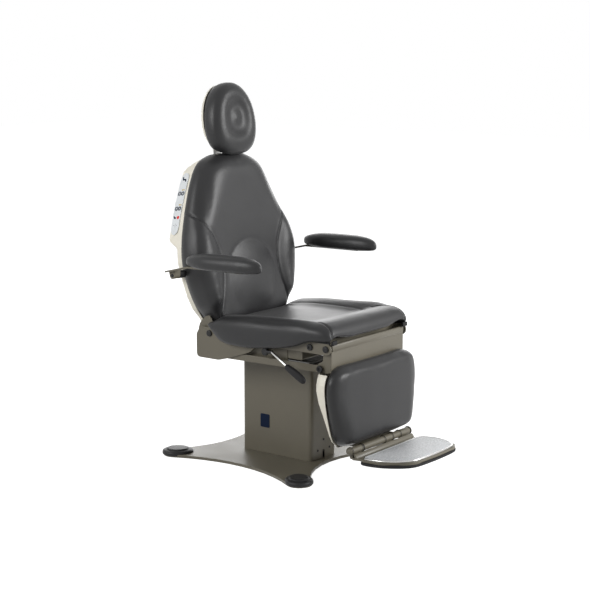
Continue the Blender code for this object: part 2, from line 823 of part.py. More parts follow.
def seat_height(x, y):
    """Top of the seat: a dished middle inside a raised roll round the sides and the front."""
    crest = through(SEAT_CREST, y)
    dish = SEAT_DISH - 0.012 * ease(y, 0.0, SEAT_REAR)
    roll = max(ease(abs(x), 0.130, 0.205), ease(-y, 0.215, 0.285))
    return min(dish, crest) + (crest - min(dish, crest)) * roll


def seat_section(y):
    half = through(SEAT_HALF, y)
    hem = through(SEAT_HEM, y)
    crest = seat_height(half, y)
    rest = max(pan_top(y) + GAP, hem + 0.002)
    inner = min(SKIRT_IN, half - 0.008)
    skirt = half - inner
    tall = crest - hem
    level = half - 0.040
    points = [(t * level, seat_height(t * level, y)) for t in (0.0, 0.28, 0.53, 0.66, 0.77, 0.88)]
    points += [
        (level, crest),
        (half - 0.022, crest - min(0.004, 0.08 * tall)),
        (half - 0.007, crest - min(0.015, 0.24 * tall)),
        (half, crest - tall * 0.45),
        (half - 0.001, hem + tall * 0.25),
        (half - 0.2 * skirt, hem + 0.004),
        (half - 0.4 * skirt, hem),
        (inner + 0.25 * skirt, hem),
        (inner, hem + 0.0015),
        (inner, rest),
        (0.10, rest),
        (0.0, rest),
    ]
    return [(x, y, z) for x, z in mirrored(points)]


def build_seat_cushion():
    stations = (SEAT_FRONT, -0.340, -0.325, -0.300, -0.270, -0.248, -0.222, -0.18, -0.12, -0.06, 0.042, 0.09,
                0.115, 0.132, 0.150, 0.163, 0.171)
    cushion = loft("seat_cushion", [seat_section(y) for y in stations], HIDE, SWIVEL_AXIS)
    wide = SKIRT_IN + RUN
    room = box_mesh("back_room", (-wide, SEAT_REAR, BACK_PIVOT_Z / 2), (wide, 2 * SEAT_REAR, BACK_PIVOT_Z * 1.5))
    cut(cushion, "back_room", room)


def build_lever():
    """Rotation lock lever: an eye on the right side plate, a bright rod and a black grip."""
    eye = Vector((-SIDE_OUT - LEVER_OUT, LEVER_Y, LEVER_Z))
    pivot = axis("lever_axis", (0, LEVER_Y, LEVER_Z), SWIVEL_AXIS)
    start = eye
    end = eye + GRIP_AT
    rod = tube("lever_rod", [start, end], STEEL, LEVER_R, pivot, resolution=2)
    rod_mesh_data = solid_from(rod)
    rod = add("lever_rod", rod_mesh_data, STEEL, pivot)
    boss = rod_mesh("lever_boss", -SIDE_OUT - LEVER_OUT - LEVER_R, -SIDE_OUT - GAP, (LEVER_Y, LEVER_Z), 0.007)
    join(rod, "lever_boss", boss)
    along = (GRIP_TIP - GRIP_AT).normalized()
    length = (GRIP_TIP - GRIP_AT).length
    places = [eye + GRIP_AT + along * (GAP + length * t) for t in (0, 0.04, 0.14, 0.45, 0.75, 0.93, 1)]
    factors = [0.55, 0.72, 0.82, 1.0, 0.98, 0.82, 0.45]
    smooth_curve(tube("lever_grip", places, BLACK, GRIP_R, pivot, radii=factors))


def smooth_curve(part):
    for spline in part.data.splines:
        spline.use_smooth = True
    return part


def solid_from(part):
    """The mesh of a curve object, welded at its caps; the curve is removed."""
    shaped = part.evaluated_get(bpy.context.evaluated_depsgraph_get())
    mesh = bpy.data.meshes.new_from_object(shaped)
    bm = bmesh.new()
    bm.from_mesh(mesh)
    bmesh.ops.remove_doubles(bm, verts=bm.verts, dist=1e-6)
    bm.to_mesh(mesh)
    bm.free()
    bpy.data.objects.remove(part, do_unlink=True)
    return mesh


def build_link():
    """The bars that turn the leg rest with the back."""
    rear = BACK_PIVOT + CRANK
    front = LEG_PIVOT + CRANK
    lean = math.atan2(rear.z - front.z, rear.y - front.y)
    r = LINK_H / 2
    outline = arc((rear.y, rear.z), r, lean - math.pi / 2, lean + math.pi / 2, 7)
    outline += arc((front.y, front.z), r, lean + math.pi / 2, lean + 1.5 * math.pi, 7)
    holes = [ring((rear.y, rear.z), PIN_R + RUN, 16), ring((front.y, front.z), PIN_R + RUN, 16)]
    for side in (RIGHT, LEFT):
        pin = axis(side_name("link_axis", side), rear, BACK_AXIS)
        low, high = span(side, LINK_IN, LINK_OUT)
        flat(side_name("link_bar", side), [outline, *holes], "YZ", low, high, PAINT, pin, edge=0.0006)


def crank_outline():
    """Rear quarter disc round the pivot, running down to the crank pin, in the back's frame."""
    pin_y = BACK_AFT.dot(CRANK)
    pin_u = BACK_UP.dot(CRANK)
    eye = PIN_R + 0.009
    lean = math.atan2(pin_u, pin_y)
    hub = PIVOT_R + 0.011
    outline = arc((0, 0), CRANK_LOBE_R, 0, math.radians(88), 12)
    outline += arc((0, 0), hub, math.radians(150), lean - math.pi / 2 + 2 * math.pi, 5)
    outline += arc((pin_y, pin_u), eye, lean - math.pi / 2, lean + math.pi / 2, 7)
    return outline, (pin_y, pin_u)


# Back outline: half width up the back, the lower end held inside the crank plates
BACK_HALF = (
    (0.014, FLANGE_IN - 0.022),
    (0.062, FLANGE_IN - 0.002),
    (0.085, 0.220),
    (0.120, 0.236),
    (0.194, 0.257),
    (0.250, 0.266),
    (0.315, 0.257),
    (0.381, 0.233),
    (0.464, 0.194),
    (0.530, 0.158),
    (0.570, 0.127),
    (0.596, 0.090),
    (BACK_TOP, 0.052),
)
SEAM = ((0.014, 0.186), (0.055, 0.185), (0.106, 0.171), (0.180, 0.160), (0.255, 0.165), (0.348, 0.200),
        (0.410, 0.215), (0.470, 0.18), (0.53, 0.14), (0.596, 0.06), (BACK_TOP, 0.02))


def back_half(u):
    return through(BACK_HALF, u)


def back_front(x, u):
    """Front of the back's middle panel, with the lumbar swell."""
    lumbar = math.exp(-((u - 0.175) / 0.075) ** 2 - (x / 0.11) ** 2)
    fall = 0.026 * ease(u, 0.530, BACK_TOP) ** 2 + 0.008 * (1 - ease(u, 0.014, 0.05))
    return BACK_FRONT - LUMBAR_OUT * lumbar + fall


def back_section(u):
    half = back_half(u)
    seam = min(through(SEAM, u), half - 0.012)
    wing = ease(u, 0.068, 0.105) * (1 - ease(u, 0.250, 0.420))
    groove = 0.006 * wing
    edge = back_front(seam, u)
    crest = edge - BOLSTER_OUT * wing
    room = half - seam
    soft = min(1.0, (BACK_REAR - edge) / 0.06)
    points = [(t * seam, back_front(t * seam, u)) for t in (0.0, 0.3, 0.6, 0.85)]
    points += [
        (seam - 0.05 * room, edge + 0.3 * groove),
        (seam + 0.02 * room, edge + groove),
        (seam + 0.16 * room, crest + 0.4 * groove),
        (seam + 0.42 * room, crest + 0.001),
        (seam + 0.72 * room, crest + 0.008 * soft),
        (half - 0.05 * room, crest + 0.022 * soft),
        (half, crest + 0.042 * soft),
        (half - 0.001, BACK_REAR - 0.012 * soft),
        (half - 0.006, BACK_REAR),
        (0.5 * half, BACK_REAR),
        (0.0, BACK_REAR),
    ]
    return [(x, y, u) for x, y in mirrored(points)]


def shell_depth(u):
    """Depth of the rear shell: shallow below, a raised pod above."""
    pod = ease(u, POD_FOOT - 0.018, POD_FOOT + 0.018) * (1 - ease(u, POD_HEAD, BACK_TOP))
    low = SHELL_DEPTH * (0.45 + 0.55 * ease(u, 0.014, 0.075))
    top = SHELL_DEPTH * 0.5 * ease(u, POD_HEAD, BACK_TOP)
    return low - top + (POD_DEPTH - SHELL_DEPTH) * pod


def shell_row(u):
    """Open row of points round the outside of the rear shell, from one rim to the other."""
    half = back_half(u) - 0.003
    rim = BACK_REAR + GAP
    deep = rim + shell_depth(u)
    bend = min(0.014, 0.45 * half, 0.7 * (deep - rim))
    half_row = [(half, rim), (half, rim + (deep - rim - bend) * 0.5)]
    half_row += [
        (half - bend + bend * math.cos(t), deep - bend + bend * math.sin(t))
        for t in np.linspace(0, math.pi / 2, 5)
    ]
    half_row.append((0.5 * (half - bend), deep))
    right = [(-x, y) for x, y in half_row]
    left = half_row[::-1]
    return [(x, y, u) for x, y in right + [(0.0, deep)] + left]


def sheet_mesh(name, rows):
    """An open surface through rows of points."""
    bm = bmesh.new()
    grid = [[bm.verts.new(p) for p in row] for row in rows]
    for low, high in zip(grid, grid[1:]):
        for i in range(len(low) - 1):
            bm.faces.new((low[i], low[i + 1], high[i + 1], high[i]))
    bmesh.ops.recalc_face_normals(bm, faces=bm.faces)
    mesh = bpy.data.meshes.new(name)
    bm.to_mesh(mesh)
    bm.free()
    return mesh


def thicken(part, thickness, offset):
    wall = part.modifiers.new("wall", "SOLIDIFY")
    wall.thickness = thickness
    wall.offset = offset
    wall.use_even_offset = True
    return part


def build_back():
    stations = (0.014, 0.024, 0.045, 0.075, 0.12, 0.16, 0.2, 0.25, 0.3, 0.345, 0.385, 0.425, 0.47, 0.515,
                0.55, 0.575, 0.592, 0.603, BACK_TOP)
    loft("back_cushion", [back_section(u) for u in stations], HIDE, BACK_AXIS, keep=False)

    reach = FLANGE_IN - GAP
    levels = [0.04 + 0.03 * i for i in range(18)]
    inset = 0.016
    outline = [(reach, -0.014), (reach, 0.012), (back_half(0.02) - inset, 0.012)]
    outline += [(back_half(u) - inset, u) for u in levels]
    outline += [(-x, u) for x, u in outline[::-1]]
    front = BACK_REAR + GAP
    rear = front + PANEL_T
    flat("back_panel", [outline], "XZ", front, rear, PAINT, BACK_AXIS, keep=False)

    crank, pin = crank_outline()
    hole = ring((0, 0), PIVOT_R + RUN, 16)
    for side in (RIGHT, LEFT):
        low, high = span(side, FLANGE_IN, FLANGE_OUT)
        name = side_name("back_crank", side)
        plate = flat(name, [crank, hole], "YZ", low, high, PAINT, BACK_AXIS, False, edge=0.0006)
        a, b = span(side, FLANGE_IN - 0.004, LINK_OUT + GAP)
        join(plate, side_name("crank_pin", side), rod_mesh("crank_pin", a, b, pin, PIN_R, 16))

    middle = (CROSS_Y, CROSS_U)
    walls = [
        rounded_box(CROSS_D / 2, CROSS_H / 2, 0.004, 3, middle),
        rounded_box(CROSS_D / 2 - 0.003, CROSS_H / 2 - 0.003, 0.001, 3, middle),
    ]
    tube_part = flat("back_cross_tube", walls, "YZ", -reach, reach, PAINT, BACK_AXIS, keep=False)
    build_back_shell()
    build_drive(tube_part, middle)


def build_back_shell():
    levels = (0.02, 0.05, 0.085, 0.13, 0.19, 0.25, 0.28, 0.296, 0.305, 0.314, 0.323, 0.332, 0.38, 0.42, 0.46,
              0.5, 0.535, 0.558, 0.572, 0.584, 0.594, 0.603)
    shell = add("back_shell", sheet_mesh("back_shell", [shell_row(u) for u in levels]), CREAM, BACK_AXIS, False)
    thicken(shell, SHELL_T, -1)
    smooth(shell, 50)
    front = BACK_REAR + GAP + PANEL_T
    slot_low = (-BAR_W / 2 - 0.004, BACK_REAR - 0.01, GUIDE_HEAD - 0.006)
    slot_high = (BAR_W / 2 + 0.004, front + 2 * GUIDE_WALL + BAR_T + 0.004, 2 * BACK_TOP)
    cut(shell, "headrest_slot", box_mesh("headrest_slot", slot_low, slot_high))
    shaft_y = front + GAP + ARM_SHAFT_R
    bore = rod_mesh("arm_bores", -ARM_X, ARM_X, (shaft_y, ARM_PIVOT_U), ARM_SHAFT_R + LAYER)
    cut(shell, "arm_bores", bore)


def strip_point(u, y, out):
    """A point on the right wall of the pod, lifted off it by out."""
    step = 0.002
    slope = (back_half(u + step) - back_half(u - step)) / (2 * step)
    normal = Vector((-1, 0, -slope)).normalized()
    return Vector((-(back_half(u) - 0.003), y, u)) + normal * out, normal


def build_strip():
    """Membrane strip with round ends, and its buttons, each free to be pushed in."""
    radius = STRIP_W / 2
    count = 11
    turns = np.linspace(0.12, math.pi / 2, 5)
    rows = [(STRIP_FOOT + radius - radius * math.cos(t), radius * math.sin(t)) for t in turns]
    rows += [
        (u, radius) for u in np.linspace(STRIP_FOOT + radius, STRIP_HEAD - radius, count)[1:-1]
    ]
    rows += [(STRIP_HEAD - radius + radius * math.cos(t), radius * math.sin(t)) for t in turns[::-1]]
    grid = [
        [strip_point(u, STRIP_Y + h * t, GAP)[0] for t in (-1, 1)] for u, h in rows
    ]
    strip = add("control_strip", sheet_mesh("control_strip", grid), STRIP, BACK_AXIS, False)
    outward = strip_point(0.45, STRIP_Y, 0)[1]
    faces = strip.data.polygons
    if faces[len(faces) // 2].normal.dot(outward) < 0:
        strip.data.flip_normals()
    thicken(strip, STRIP_T, 1)
    places = [
        (f"button_{role}_{way}", row, STRIP_Y + turn * BUTTON_PITCH / 2, NAVY)
        for role, row in zip(("leg", "back"), BUTTON_ROWS)
        for way, turn in (("down", 1), ("up", -1))
    ]
    for name, u, y, look in places:
        seat, normal = strip_point(u, y, BUTTON_LIFT)
        turn = normal.to_track_quat("Z", "Y")
        pocket = tool(f"{name}_pocket", disc_mesh(BUTTON_R + GAP, -0.002, 0.008), strip)
        pocket.location = seat
        pocket.rotation_euler = turn.to_euler()
        combine(strip, pocket, "DIFFERENCE")
        high = GAP + STRIP_T + BUTTON_PROUD - BUTTON_LIFT
        button = add(name, disc_mesh(BUTTON_R, 0, high), look, BACK_AXIS, False)
        button.location = seat
        button.rotation_euler = turn.to_euler()


def disc_mesh(radius, low, high, count=16):
    return flat_mesh("disc", [ring((0, 0), radius, count)], "XY", low, high)


def build_drive(cross_tube, cross):
    """Recline drive: a screw actuator under the seat whose slotted head turns a crank on the back."""
    half = DRIVE_SWING / 2
    rest = Vector((0, DRIVE_ARM * math.sin(half), -DRIVE_ARM * math.cos(half)))
    pin = (BACK_AFT.dot(rest), BACK_UP.dot(rest))
    crank_in = DRIVE_X - DRIVE_ROD_R - LAYER - 0.008
    crank_out = crank_in + 0.008
    root = cross[1] - CROSS_H / 2 + 0.002
    outline = filleted([
        (cross[0] - CROSS_D / 2 + 0.002, root, 0),
        (pin[0] - 0.010, pin[1] - 0.012, 0.009),
        (pin[0] + 0.012, pin[1] - 0.012, 0.010),
        (pin[0] + 0.012, pin[1] + 0.010, 0.010),
        (cross[0] + CROSS_D / 2 - 0.002, cross[1] + CROSS_H / 2 - 0.006, 0),
        (cross[0] + CROSS_D / 2 - 0.002, root, 0),
    ], 4)
    join(cross_tube, "drive_crank", flat_mesh("drive_crank", [outline], "YZ", crank_in, crank_out))
    end = DRIVE_X + 0.005 + LAYER
    join(cross_tube, "drive_pin", rod_mesh("drive_pin", crank_in + 0.002, end, pin, DRIVE_PIN_R))

    low = BACK_PIVOT_Z - DRIVE_ARM
    high = BACK_PIVOT_Z - DRIVE_ARM * math.cos(half)
    level = (low + high) / 2
    at = BACK_PIVOT_Y + rest.y
    slot_y = DRIVE_PIN_R + DRIVE_PLAY
    slot_z = (high - low) / 2 + DRIVE_PIN_R + 0.0015
    drive = axis("drive_axis", (DRIVE_X, at, level), SWIVEL_AXIS)
    head = [
        rounded_box(slot_y + 0.007, slot_z + 0.006, 0.006, 4, (at, level)),
        rounded_box(slot_y, slot_z, slot_y * 0.95, 5, (at, level)),
    ]
    rod = flat("recline_rod", head, "YZ", DRIVE_X - 0.005, DRIVE_X + 0.005, STEEL, drive)
    stroke = 2 * DRIVE_ARM * math.sin(half)
    tail = TUBE_REAR - stroke - 0.020
    bar = flat_mesh("recline_bar", [ring((DRIVE_X, level), DRIVE_ROD_R, 16)], "XZ", tail, at - slot_y - 0.003)
    join(rod, "recline_bar", bar)

    wall = SUBFRAME_HALF + GAP
    wide = 2 * (DRIVE_X - wall)
    body = rounded_box(wide / 2, GEARBOX_H / 2, 0.008, 4, (DRIVE_X, level + 0.008))
    gearbox = tail - stroke - 0.006
    motor = flat("recline_motor", [body], "XZ", gearbox - GEARBOX_L, gearbox, DARK, SWIVEL_AXIS, edge=0.003)
    casing = [ring((DRIVE_X, level), TUBE_R, 20)]
    join(motor, "recline_tube", flat_mesh("recline_tube", casing, "XZ", gearbox - 0.004, TUBE_REAR))
    bore = [ring((DRIVE_X, level), DRIVE_ROD_R + RUN, 16)]
    cut(motor, "recline_bore", flat_mesh("recline_bore", bore, "XZ", tail - stroke - 0.004, TUBE_REAR + 0.1))


def pad_section(t, side):
    """One section across an arm pad, t from the rear end to the tip."""
    y = PAD_REAR + (PAD_TIP - PAD_REAR) * t
    full = (math.sin(math.pi * min(t / 0.36, 1) / 2)) ** 0.55 if t < 0.36 else 1.0
    front = (1 - ((t - 0.62) / 0.38) ** 2.6) ** 0.5 if t > 0.62 else 1.0
    size = max(full * front, 0.16)
    taper = 1 - 0.16 * ease(t, 0.3, 0.95)
    wide = PAD_HALF * size * taper
    rise = (PAD_REAR - y) * math.tan(PAD_RISE)
    tall = PAD_T * (0.35 + 0.65 * size)
    droop = 0.010 * (1 - full) + 0.006 * (1 - front)
    low = PAD_BOTTOM + rise + droop
    loop = []
    for a in np.linspace(0, 2 * math.pi, 16, endpoint=False):
        c, s = math.cos(a), math.sin(a)
        x = wide * math.copysign(abs(c) ** 0.7, c)
        z = tall * (0.42 + 0.58 * s) if s > 0 else tall * 0.42 * (1 - abs(s) ** 0.45)
        loop.append((side * ARM_X + x, y, low + z))
    return loop


def build_arms():
    shaft_y = BACK_REAR + 2 * GAP + PANEL_T + ARM_SHAFT_R
    hub = on_back(0, ARM_PIVOT_Y, ARM_PIVOT_U)
    lift = math.tan(PAD_RISE)
    under = PAD_BOTTOM + PAD_POCKET
    knee = PAD_REAR - 0.020
    for side in (RIGHT, LEFT):
        outer = BRACKET_IN + BRACKET_T
        plate = filleted([
            (ARM_PIVOT_Y - 0.013, ARM_PIVOT_U - 0.013, 0.012),
            (shaft_y + 0.011, ARM_PIVOT_U - 0.013, 0.008),
            (shaft_y + 0.011, ARM_PIVOT_U + 0.013, 0.008),
            (ARM_PIVOT_Y - 0.013, ARM_PIVOT_U + 0.013, 0.012),
        ], 4)
        low, high = span(side, BRACKET_IN, outer)
        bracket = flat(side_name("arm_bracket", side), [plate], "YZ", low, high, BLACK, BACK_AXIS, keep=False)
        a, b = span(side, 0.160, BRACKET_IN + 0.004)
        join(bracket, side_name("arm_shaft", side), rod_mesh("shaft", a, b, (shaft_y, ARM_PIVOT_U), ARM_SHAFT_R, 16))
        hub_out = outer + LAYER / 2 + ARM_HUB_W
        a, b = span(side, outer - 0.004, hub_out)
        pin = rod_mesh("pin", a, b, (ARM_PIVOT_Y, ARM_PIVOT_U), ARM_PIN_R, 16)
        join(bracket, side_name("arm_pin", side), pin)

        turn = axis(side_name("arm_axis", side), hub, BACK_AXIS, 0)
        tail = (hub.y + 0.021, hub.z + 0.016)
        tip = PAD_TIP + 0.070
        top = under + (PAD_REAR - tip) * lift
        outline = [
            (tip, top),
            (tip, top - ARM_BAR_T),
            (knee, under + (PAD_REAR - knee) * lift - ARM_BAR_T),
            (tail[0], tail[1] - ARM_BAR_T),
            tail,
            (knee + 0.004, under + (PAD_REAR - knee) * lift),
        ]
        a, b = span(side, ARM_X - ARM_BAR_W / 2, ARM_X + ARM_BAR_W / 2)
        bar = flat(side_name("arm_bar", side), [outline], "YZ", a, b, PAINT, turn, edge=0.0008)
        block = [(hub.y - 0.012, hub.z + 0.018)]
        block += arc((hub.y, hub.z), 0.012, math.radians(180), math.radians(345), 8)
        block.append((hub.y + 0.015, tail[1] - ARM_BAR_T + 0.002))
        a, b = span(side, outer + LAYER / 2, hub_out)
        hole = ring((hub.y, hub.z), ARM_PIN_R + RUN, 16)
        join(bar, side_name("arm_hub", side), flat_mesh("arm_hub", [block, hole], "YZ", a, b))
        steps = (0.0, 0.012, 0.035, 0.075, 0.14, 0.22, 0.36, 0.5, 0.62, 0.74, 0.85, 0.92, 0.965, 0.99, 1.0)
        pad = loft(side_name("arm_pad", side), [pad_section(t, side) for t in steps], HIDE, turn)
        slot_top = top + GAP
        slot = [
            (tip - GAP, slot_top),
            (tip - GAP, PAD_BOTTOM - PAD_T),
            (2 * PAD_REAR, PAD_BOTTOM - PAD_T),
            (2 * PAD_REAR, under + (PAD_REAR - 2 * PAD_REAR) * lift + GAP),
        ]
        a, b = span(side, ARM_X - ARM_BAR_W / 2 - GAP, ARM_X + ARM_BAR_W / 2 + GAP)
        cut(pad, side_name("bar_slot", side), flat_mesh("bar_slot", [slot], "YZ", a, b))


def egg(scale, y, count=28):
    """A ring round the headrest at one depth."""
    middle = HEAD_FOOT + HEAD_H / 2
    points = []
    for a in np.linspace(0, 2 * math.pi, count, endpoint=False):
        c, s = math.cos(a), math.sin(a)
        x = HEAD_W / 2 * math.copysign(abs(c) ** 0.90, c) * scale
        u = HEAD_H / 2 * math.copysign(abs(s) ** 0.92, s) * scale
        x *= 1 - HEAD_EGG * (u / HEAD_H)
        points.append((x, y, middle + u))
    return points


def build_headrest():
    slide = axis("headrest_axis", on_back(0, 0, GUIDE_HEAD), BACK_AXIS)
    front = BACK_REAR + 2 * GAP + PANEL_T
    bar_front = front + GUIDE_WALL + RUN
    bar_rear = bar_front + BAR_T
    half = BAR_W / 2
    middle = (0, (bar_front + bar_rear) / 2)
    walls = [
        rounded_box(half + RUN + GUIDE_WALL, BAR_T / 2 + RUN + GUIDE_WALL, 0.002, 3, middle),
        rounded_box(half + RUN, BAR_T / 2 + RUN, 0.0004, 3, middle),
    ]
    flat("headrest_guide", walls, "XY", GUIDE_FOOT, GUIDE_HEAD, STEEL, BACK_AXIS, keep=False)
    bar = in_back(flat("headrest_bar", [rounded_box(half, BAR_T / 2, 0.0015, 3, middle)], "XY", BAR_FOOT,
                       TILT_U, STEEL), slide)
    knuckle_y = middle[1] - 0.002
    barrel = flat_mesh("tilt_barrel", [ring((knuckle_y, TILT_U), KNUCKLE_R, 20)], "YZ", -half, half)
    join(bar, "tilt_barrel", barrel)
    cut(bar, "tilt_bore", rod_mesh("tilt_bore", -0.1, 0.1, (knuckle_y, TILT_U), TILT_PIN_R + RUN, 16))

    tilt = axis("tilt_axis", on_back(0, knuckle_y, TILT_U), slide)
    rings = ((0.75, 0), (0.925, 0), (0.95, 0.10), (1.0, 0.42), (0.98, 0.74), (0.90, 0.94), (0.77, 1.0))
    deep = HEAD_RIM - HEAD_REAR
    loops = [egg(scale, HEAD_REAR + deep * t) for scale, t in rings]
    sink = HEAD_DIMPLE - HEAD_RIM
    bowl = ((0.62, 0.14), (0.48, 0.5), (0.34, 0.88), (0.22, 0.98), (0.10, 0.86))
    loops += [egg(scale, HEAD_RIM + sink * t) for scale, t in bowl]
    in_back(loft("headrest_cushion", loops, HIDE), tilt)

    rim = HEAD_REAR + GAP
    deep = rim + HEAD_SHELL_D
    cup = ((0.94, rim), (0.94, rim + 0.35 * HEAD_SHELL_D), (0.90, rim + 0.75 * HEAD_SHELL_D), (0.80, deep - 0.001),
           (0.6, deep))
    shell = loft_open("headrest_shell", [egg(scale, y) for scale, y in cup], CREAM)
    in_back(thicken(shell, SHELL_T, -1), tilt)

    ear = half + LAYER / 2
    base = filleted([
        (-0.030, TILT_U - 0.030, 0.006),
        (0.030, TILT_U - 0.030, 0.006),
        (0.030, TILT_U + 0.030, 0.006),
        (-0.030, TILT_U + 0.030, 0.006),
    ], 3)
    plate_front = deep + GAP
    plate_rear = plate_front + 0.004
    bracket = in_back(flat("headrest_bracket", [base], "XZ", plate_front, plate_rear, STEEL), tilt)
    lug = filleted([
        (plate_rear - 0.002, TILT_U - 0.012, 0),
        (knuckle_y + 0.009, TILT_U - 0.010, 0.007),
        (knuckle_y + 0.009, TILT_U + 0.010, 0.007),
        (plate_rear - 0.002, TILT_U + 0.012, 0),
    ], 4)
    for side in (RIGHT, LEFT):
        low, high = span(side, ear, ear + 0.005)
        join(bracket, side_name("tilt_lug", side), flat_mesh("lug", [lug], "YZ", low, high))
    join(bracket, "tilt_pin", rod_mesh("tilt_pin", -ear - 0.004, ear + 0.004, (knuckle_y, TILT_U), TILT_PIN_R, 16))


def in_back(part, turn):
    """Hangs a piece that was modelled in the back's frame on an axis there."""
    part.parent = turn
    part.matrix_parent_inverse = turn.matrix_world.inverted() @ BACK_AXIS.matrix_world
    return part


def loft_open(name, loops, look):
    """A dish through loops, closed at its last loop and open at its first."""
    bm = bmesh.new()
    rows = [[bm.verts.new(p) for p in loop] for loop in loops]
    count = len(rows[0])
    for low, high in zip(rows, rows[1:]):
        for i in range(count):
            j = (i + 1) % count
            bm.faces.new((low[i], low[j], high[j], high[i]))
    bm.faces.new(rows[-1])
    bmesh.ops.recalc_face_normals(bm, faces=bm.faces)
    mesh = bpy.data.meshes.new(name)
    bm.to_mesh(mesh)
    bm.free()
    return smooth(add(name, mesh, look), 50)


# Leg rest cushion: half width up the cushion, from its foot
LEG_HALF = ((0.0, 0.160), (0.010, 0.186), (0.030, 0.203), (0.075, 0.221), (0.140, 0.239), (0.195, 0.247),
            (0.230, 0.243), (0.2575, 0.225), (0.2725, 0.200), (0.2785, 0.172))


def leg_half(z):
    return through(LEG_HALF, z - LEG_PAD_FOOT)


def leg_section(z):
    half = leg_half(z)
    rear = LEG_PANEL_Y - LEG_PANEL_T - GAP
    up = (z - LEG_PAD_FOOT) / (LEG_PAD_TOP - LEG_PAD_FOOT)
    round_off = 0.58 * (1 - ease(up, 0.0, 0.11)) + 0.42 * ease(up, 0.90, 1.0)
    front = rear - (LEG_PAD_T + LEG_PAD_SWELL * (1 - ease(up, 0.1, 0.9))) * (1 - round_off)
    crown = 0.006 * (1 - (2 * up - 1) ** 2)
    thick = rear - front
    points = [
        (0.0, front),
        (0.45 * half, front + crown * 0.2),
        (0.78 * half, front + crown * 0.8),
        (0.90 * half, front + 0.10 * thick + crown),
        (0.97 * half, front + 0.30 * thick),
        (half, front + 0.58 * thick),
        (half - 0.001, rear - 0.08 * thick),
        (half - 0.005, rear),
        (0.5 * half, rear),
        (0.0, rear),
    ]
    return [(x, y, z) for x, y in mirrored(points)]


def leg_shell_row(z):
    """Row round the outside of the leg shell, deep at the top and running out at the foot."""
    up = (z - LEG_PAD_FOOT) / (LEG_PAD_TOP - LEG_PAD_FOOT)
    half = leg_half(z) - 0.004
    deep = LEG_SHELL_D * (0.16 + 0.84 * ease(up, 0.0, 0.75)) * (1 - 0.35 * ease(up, 0.90, 1.0))
    rim = LEG_PANEL_Y + GAP
    bend = min(0.022, 0.8 * deep)
    half_row = [(half, rim), (half, rim + (deep - bend) * 0.6)]
    half_row += [
        (half - bend + bend * math.cos(t), rim + deep - bend + bend * math.sin(t))
        for t in np.linspace(0, math.pi / 2, 4)
    ]
    half_row.append((0.45 * half, rim + deep))
    right = [(-x, y) for x, y in half_row]
    return [(x, y, z) for x, y in right + [(0.0, rim + deep)] + half_row[::-1]]


def build_leg():
    front = LEG_PANEL_Y - LEG_PANEL_T
    wide = FLANGE_OUT
    narrow = leg_half(LEG_PAD_FOOT + 0.02) - 0.022
    shoulder = LEG_PAD_TOP - 0.030
    foot = HINGE_Z + LEAF_T
    panel = filleted([
        (-wide, LEG_PANEL_TOP, 0.002),
        (-wide, shoulder, 0.004),
        (-narrow, foot, 0.01),
        (narrow, foot, 0.01),
        (wide, shoulder, 0.004),
        (wide, LEG_PANEL_TOP, 0.002),
    ], 3)
    sheet = flat("leg_panel", [panel], "XZ", front, LEG_PANEL_Y, PAINT, LEG_AXIS)
    hem_low = (-wide + 0.0006, front - 0.0018, LEG_PANEL_TOP - LEG_PANEL_HEM)
    hem_high = (wide - 0.0006, LEG_PANEL_Y - 0.001, LEG_PANEL_TOP - 0.0006)
    join(sheet, "leg_hem", box_mesh("leg_hem", hem_low, hem_high))

    ear = LEG_PIVOT + CRANK
    flange = filleted([
        (LEG_PANEL_Y + GAP, LEG_PIVOT_Z + 0.013, 0.006),
        (LEG_PANEL_Y + GAP, ear.z - 0.010, 0.003),
        (LEG_PANEL_Y + 0.016, ear.z - EAR_R, 0.004),
        (ear.y + EAR_R, ear.z - EAR_R, EAR_R * 0.95),
        (ear.y + EAR_R, ear.z + EAR_R, EAR_R * 0.95),
        (LEG_PANEL_Y + 0.030, ear.z + EAR_R + 0.012, 0.012),
        (LEG_PANEL_Y + 0.027, LEG_PIVOT_Z + 0.013, 0.012),
    ], 4)
    hole = ring((LEG_PIVOT_Y, LEG_PIVOT_Z), PIVOT_R + RUN, 16)
    for side in (RIGHT, LEFT):
        low, high = span(side, FLANGE_IN, FLANGE_OUT)
        name = side_name("leg_flange", side)
        plate = flat(name, [flange, hole], "YZ", low, high, PAINT, LEG_AXIS, edge=0.0006)
        a, b = span(side, FLANGE_IN - 0.004, LINK_OUT + GAP)
        join(plate, side_name("leg_pin", side), rod_mesh("leg_pin", a, b, (ear.y, ear.z), PIN_R, 16))

    deep = LEG_PAD_TOP - LEG_PAD_FOOT
    steps = (0.0, 0.02, 0.06, 0.13, 0.25, 0.4, 0.55, 0.7, 0.82, 0.90, 0.955, 0.985, 1.0)
    loft("leg_cushion", [leg_section(LEG_PAD_FOOT + deep * t) for t in steps], HIDE, LEG_AXIS)
    rows = [leg_shell_row(LEG_PAD_FOOT + deep * t) for t in (0.03, 0.07, 0.14, 0.25, 0.4, 0.55, 0.7, 0.78)]
    top = ear.z - EAR_R - LAYER
    crown = (top - LEG_PAD_FOOT) / deep
    rows += [leg_shell_row(LEG_PAD_FOOT + deep * t) for t in np.linspace(0.84, crown, 4)]
    shell = add("leg_shell", sheet_mesh("leg_shell", rows), CREAM, LEG_AXIS)
    thicken(shell, SHELL_T, -1)
    smooth(shell, 50)
    build_foot_hinge()


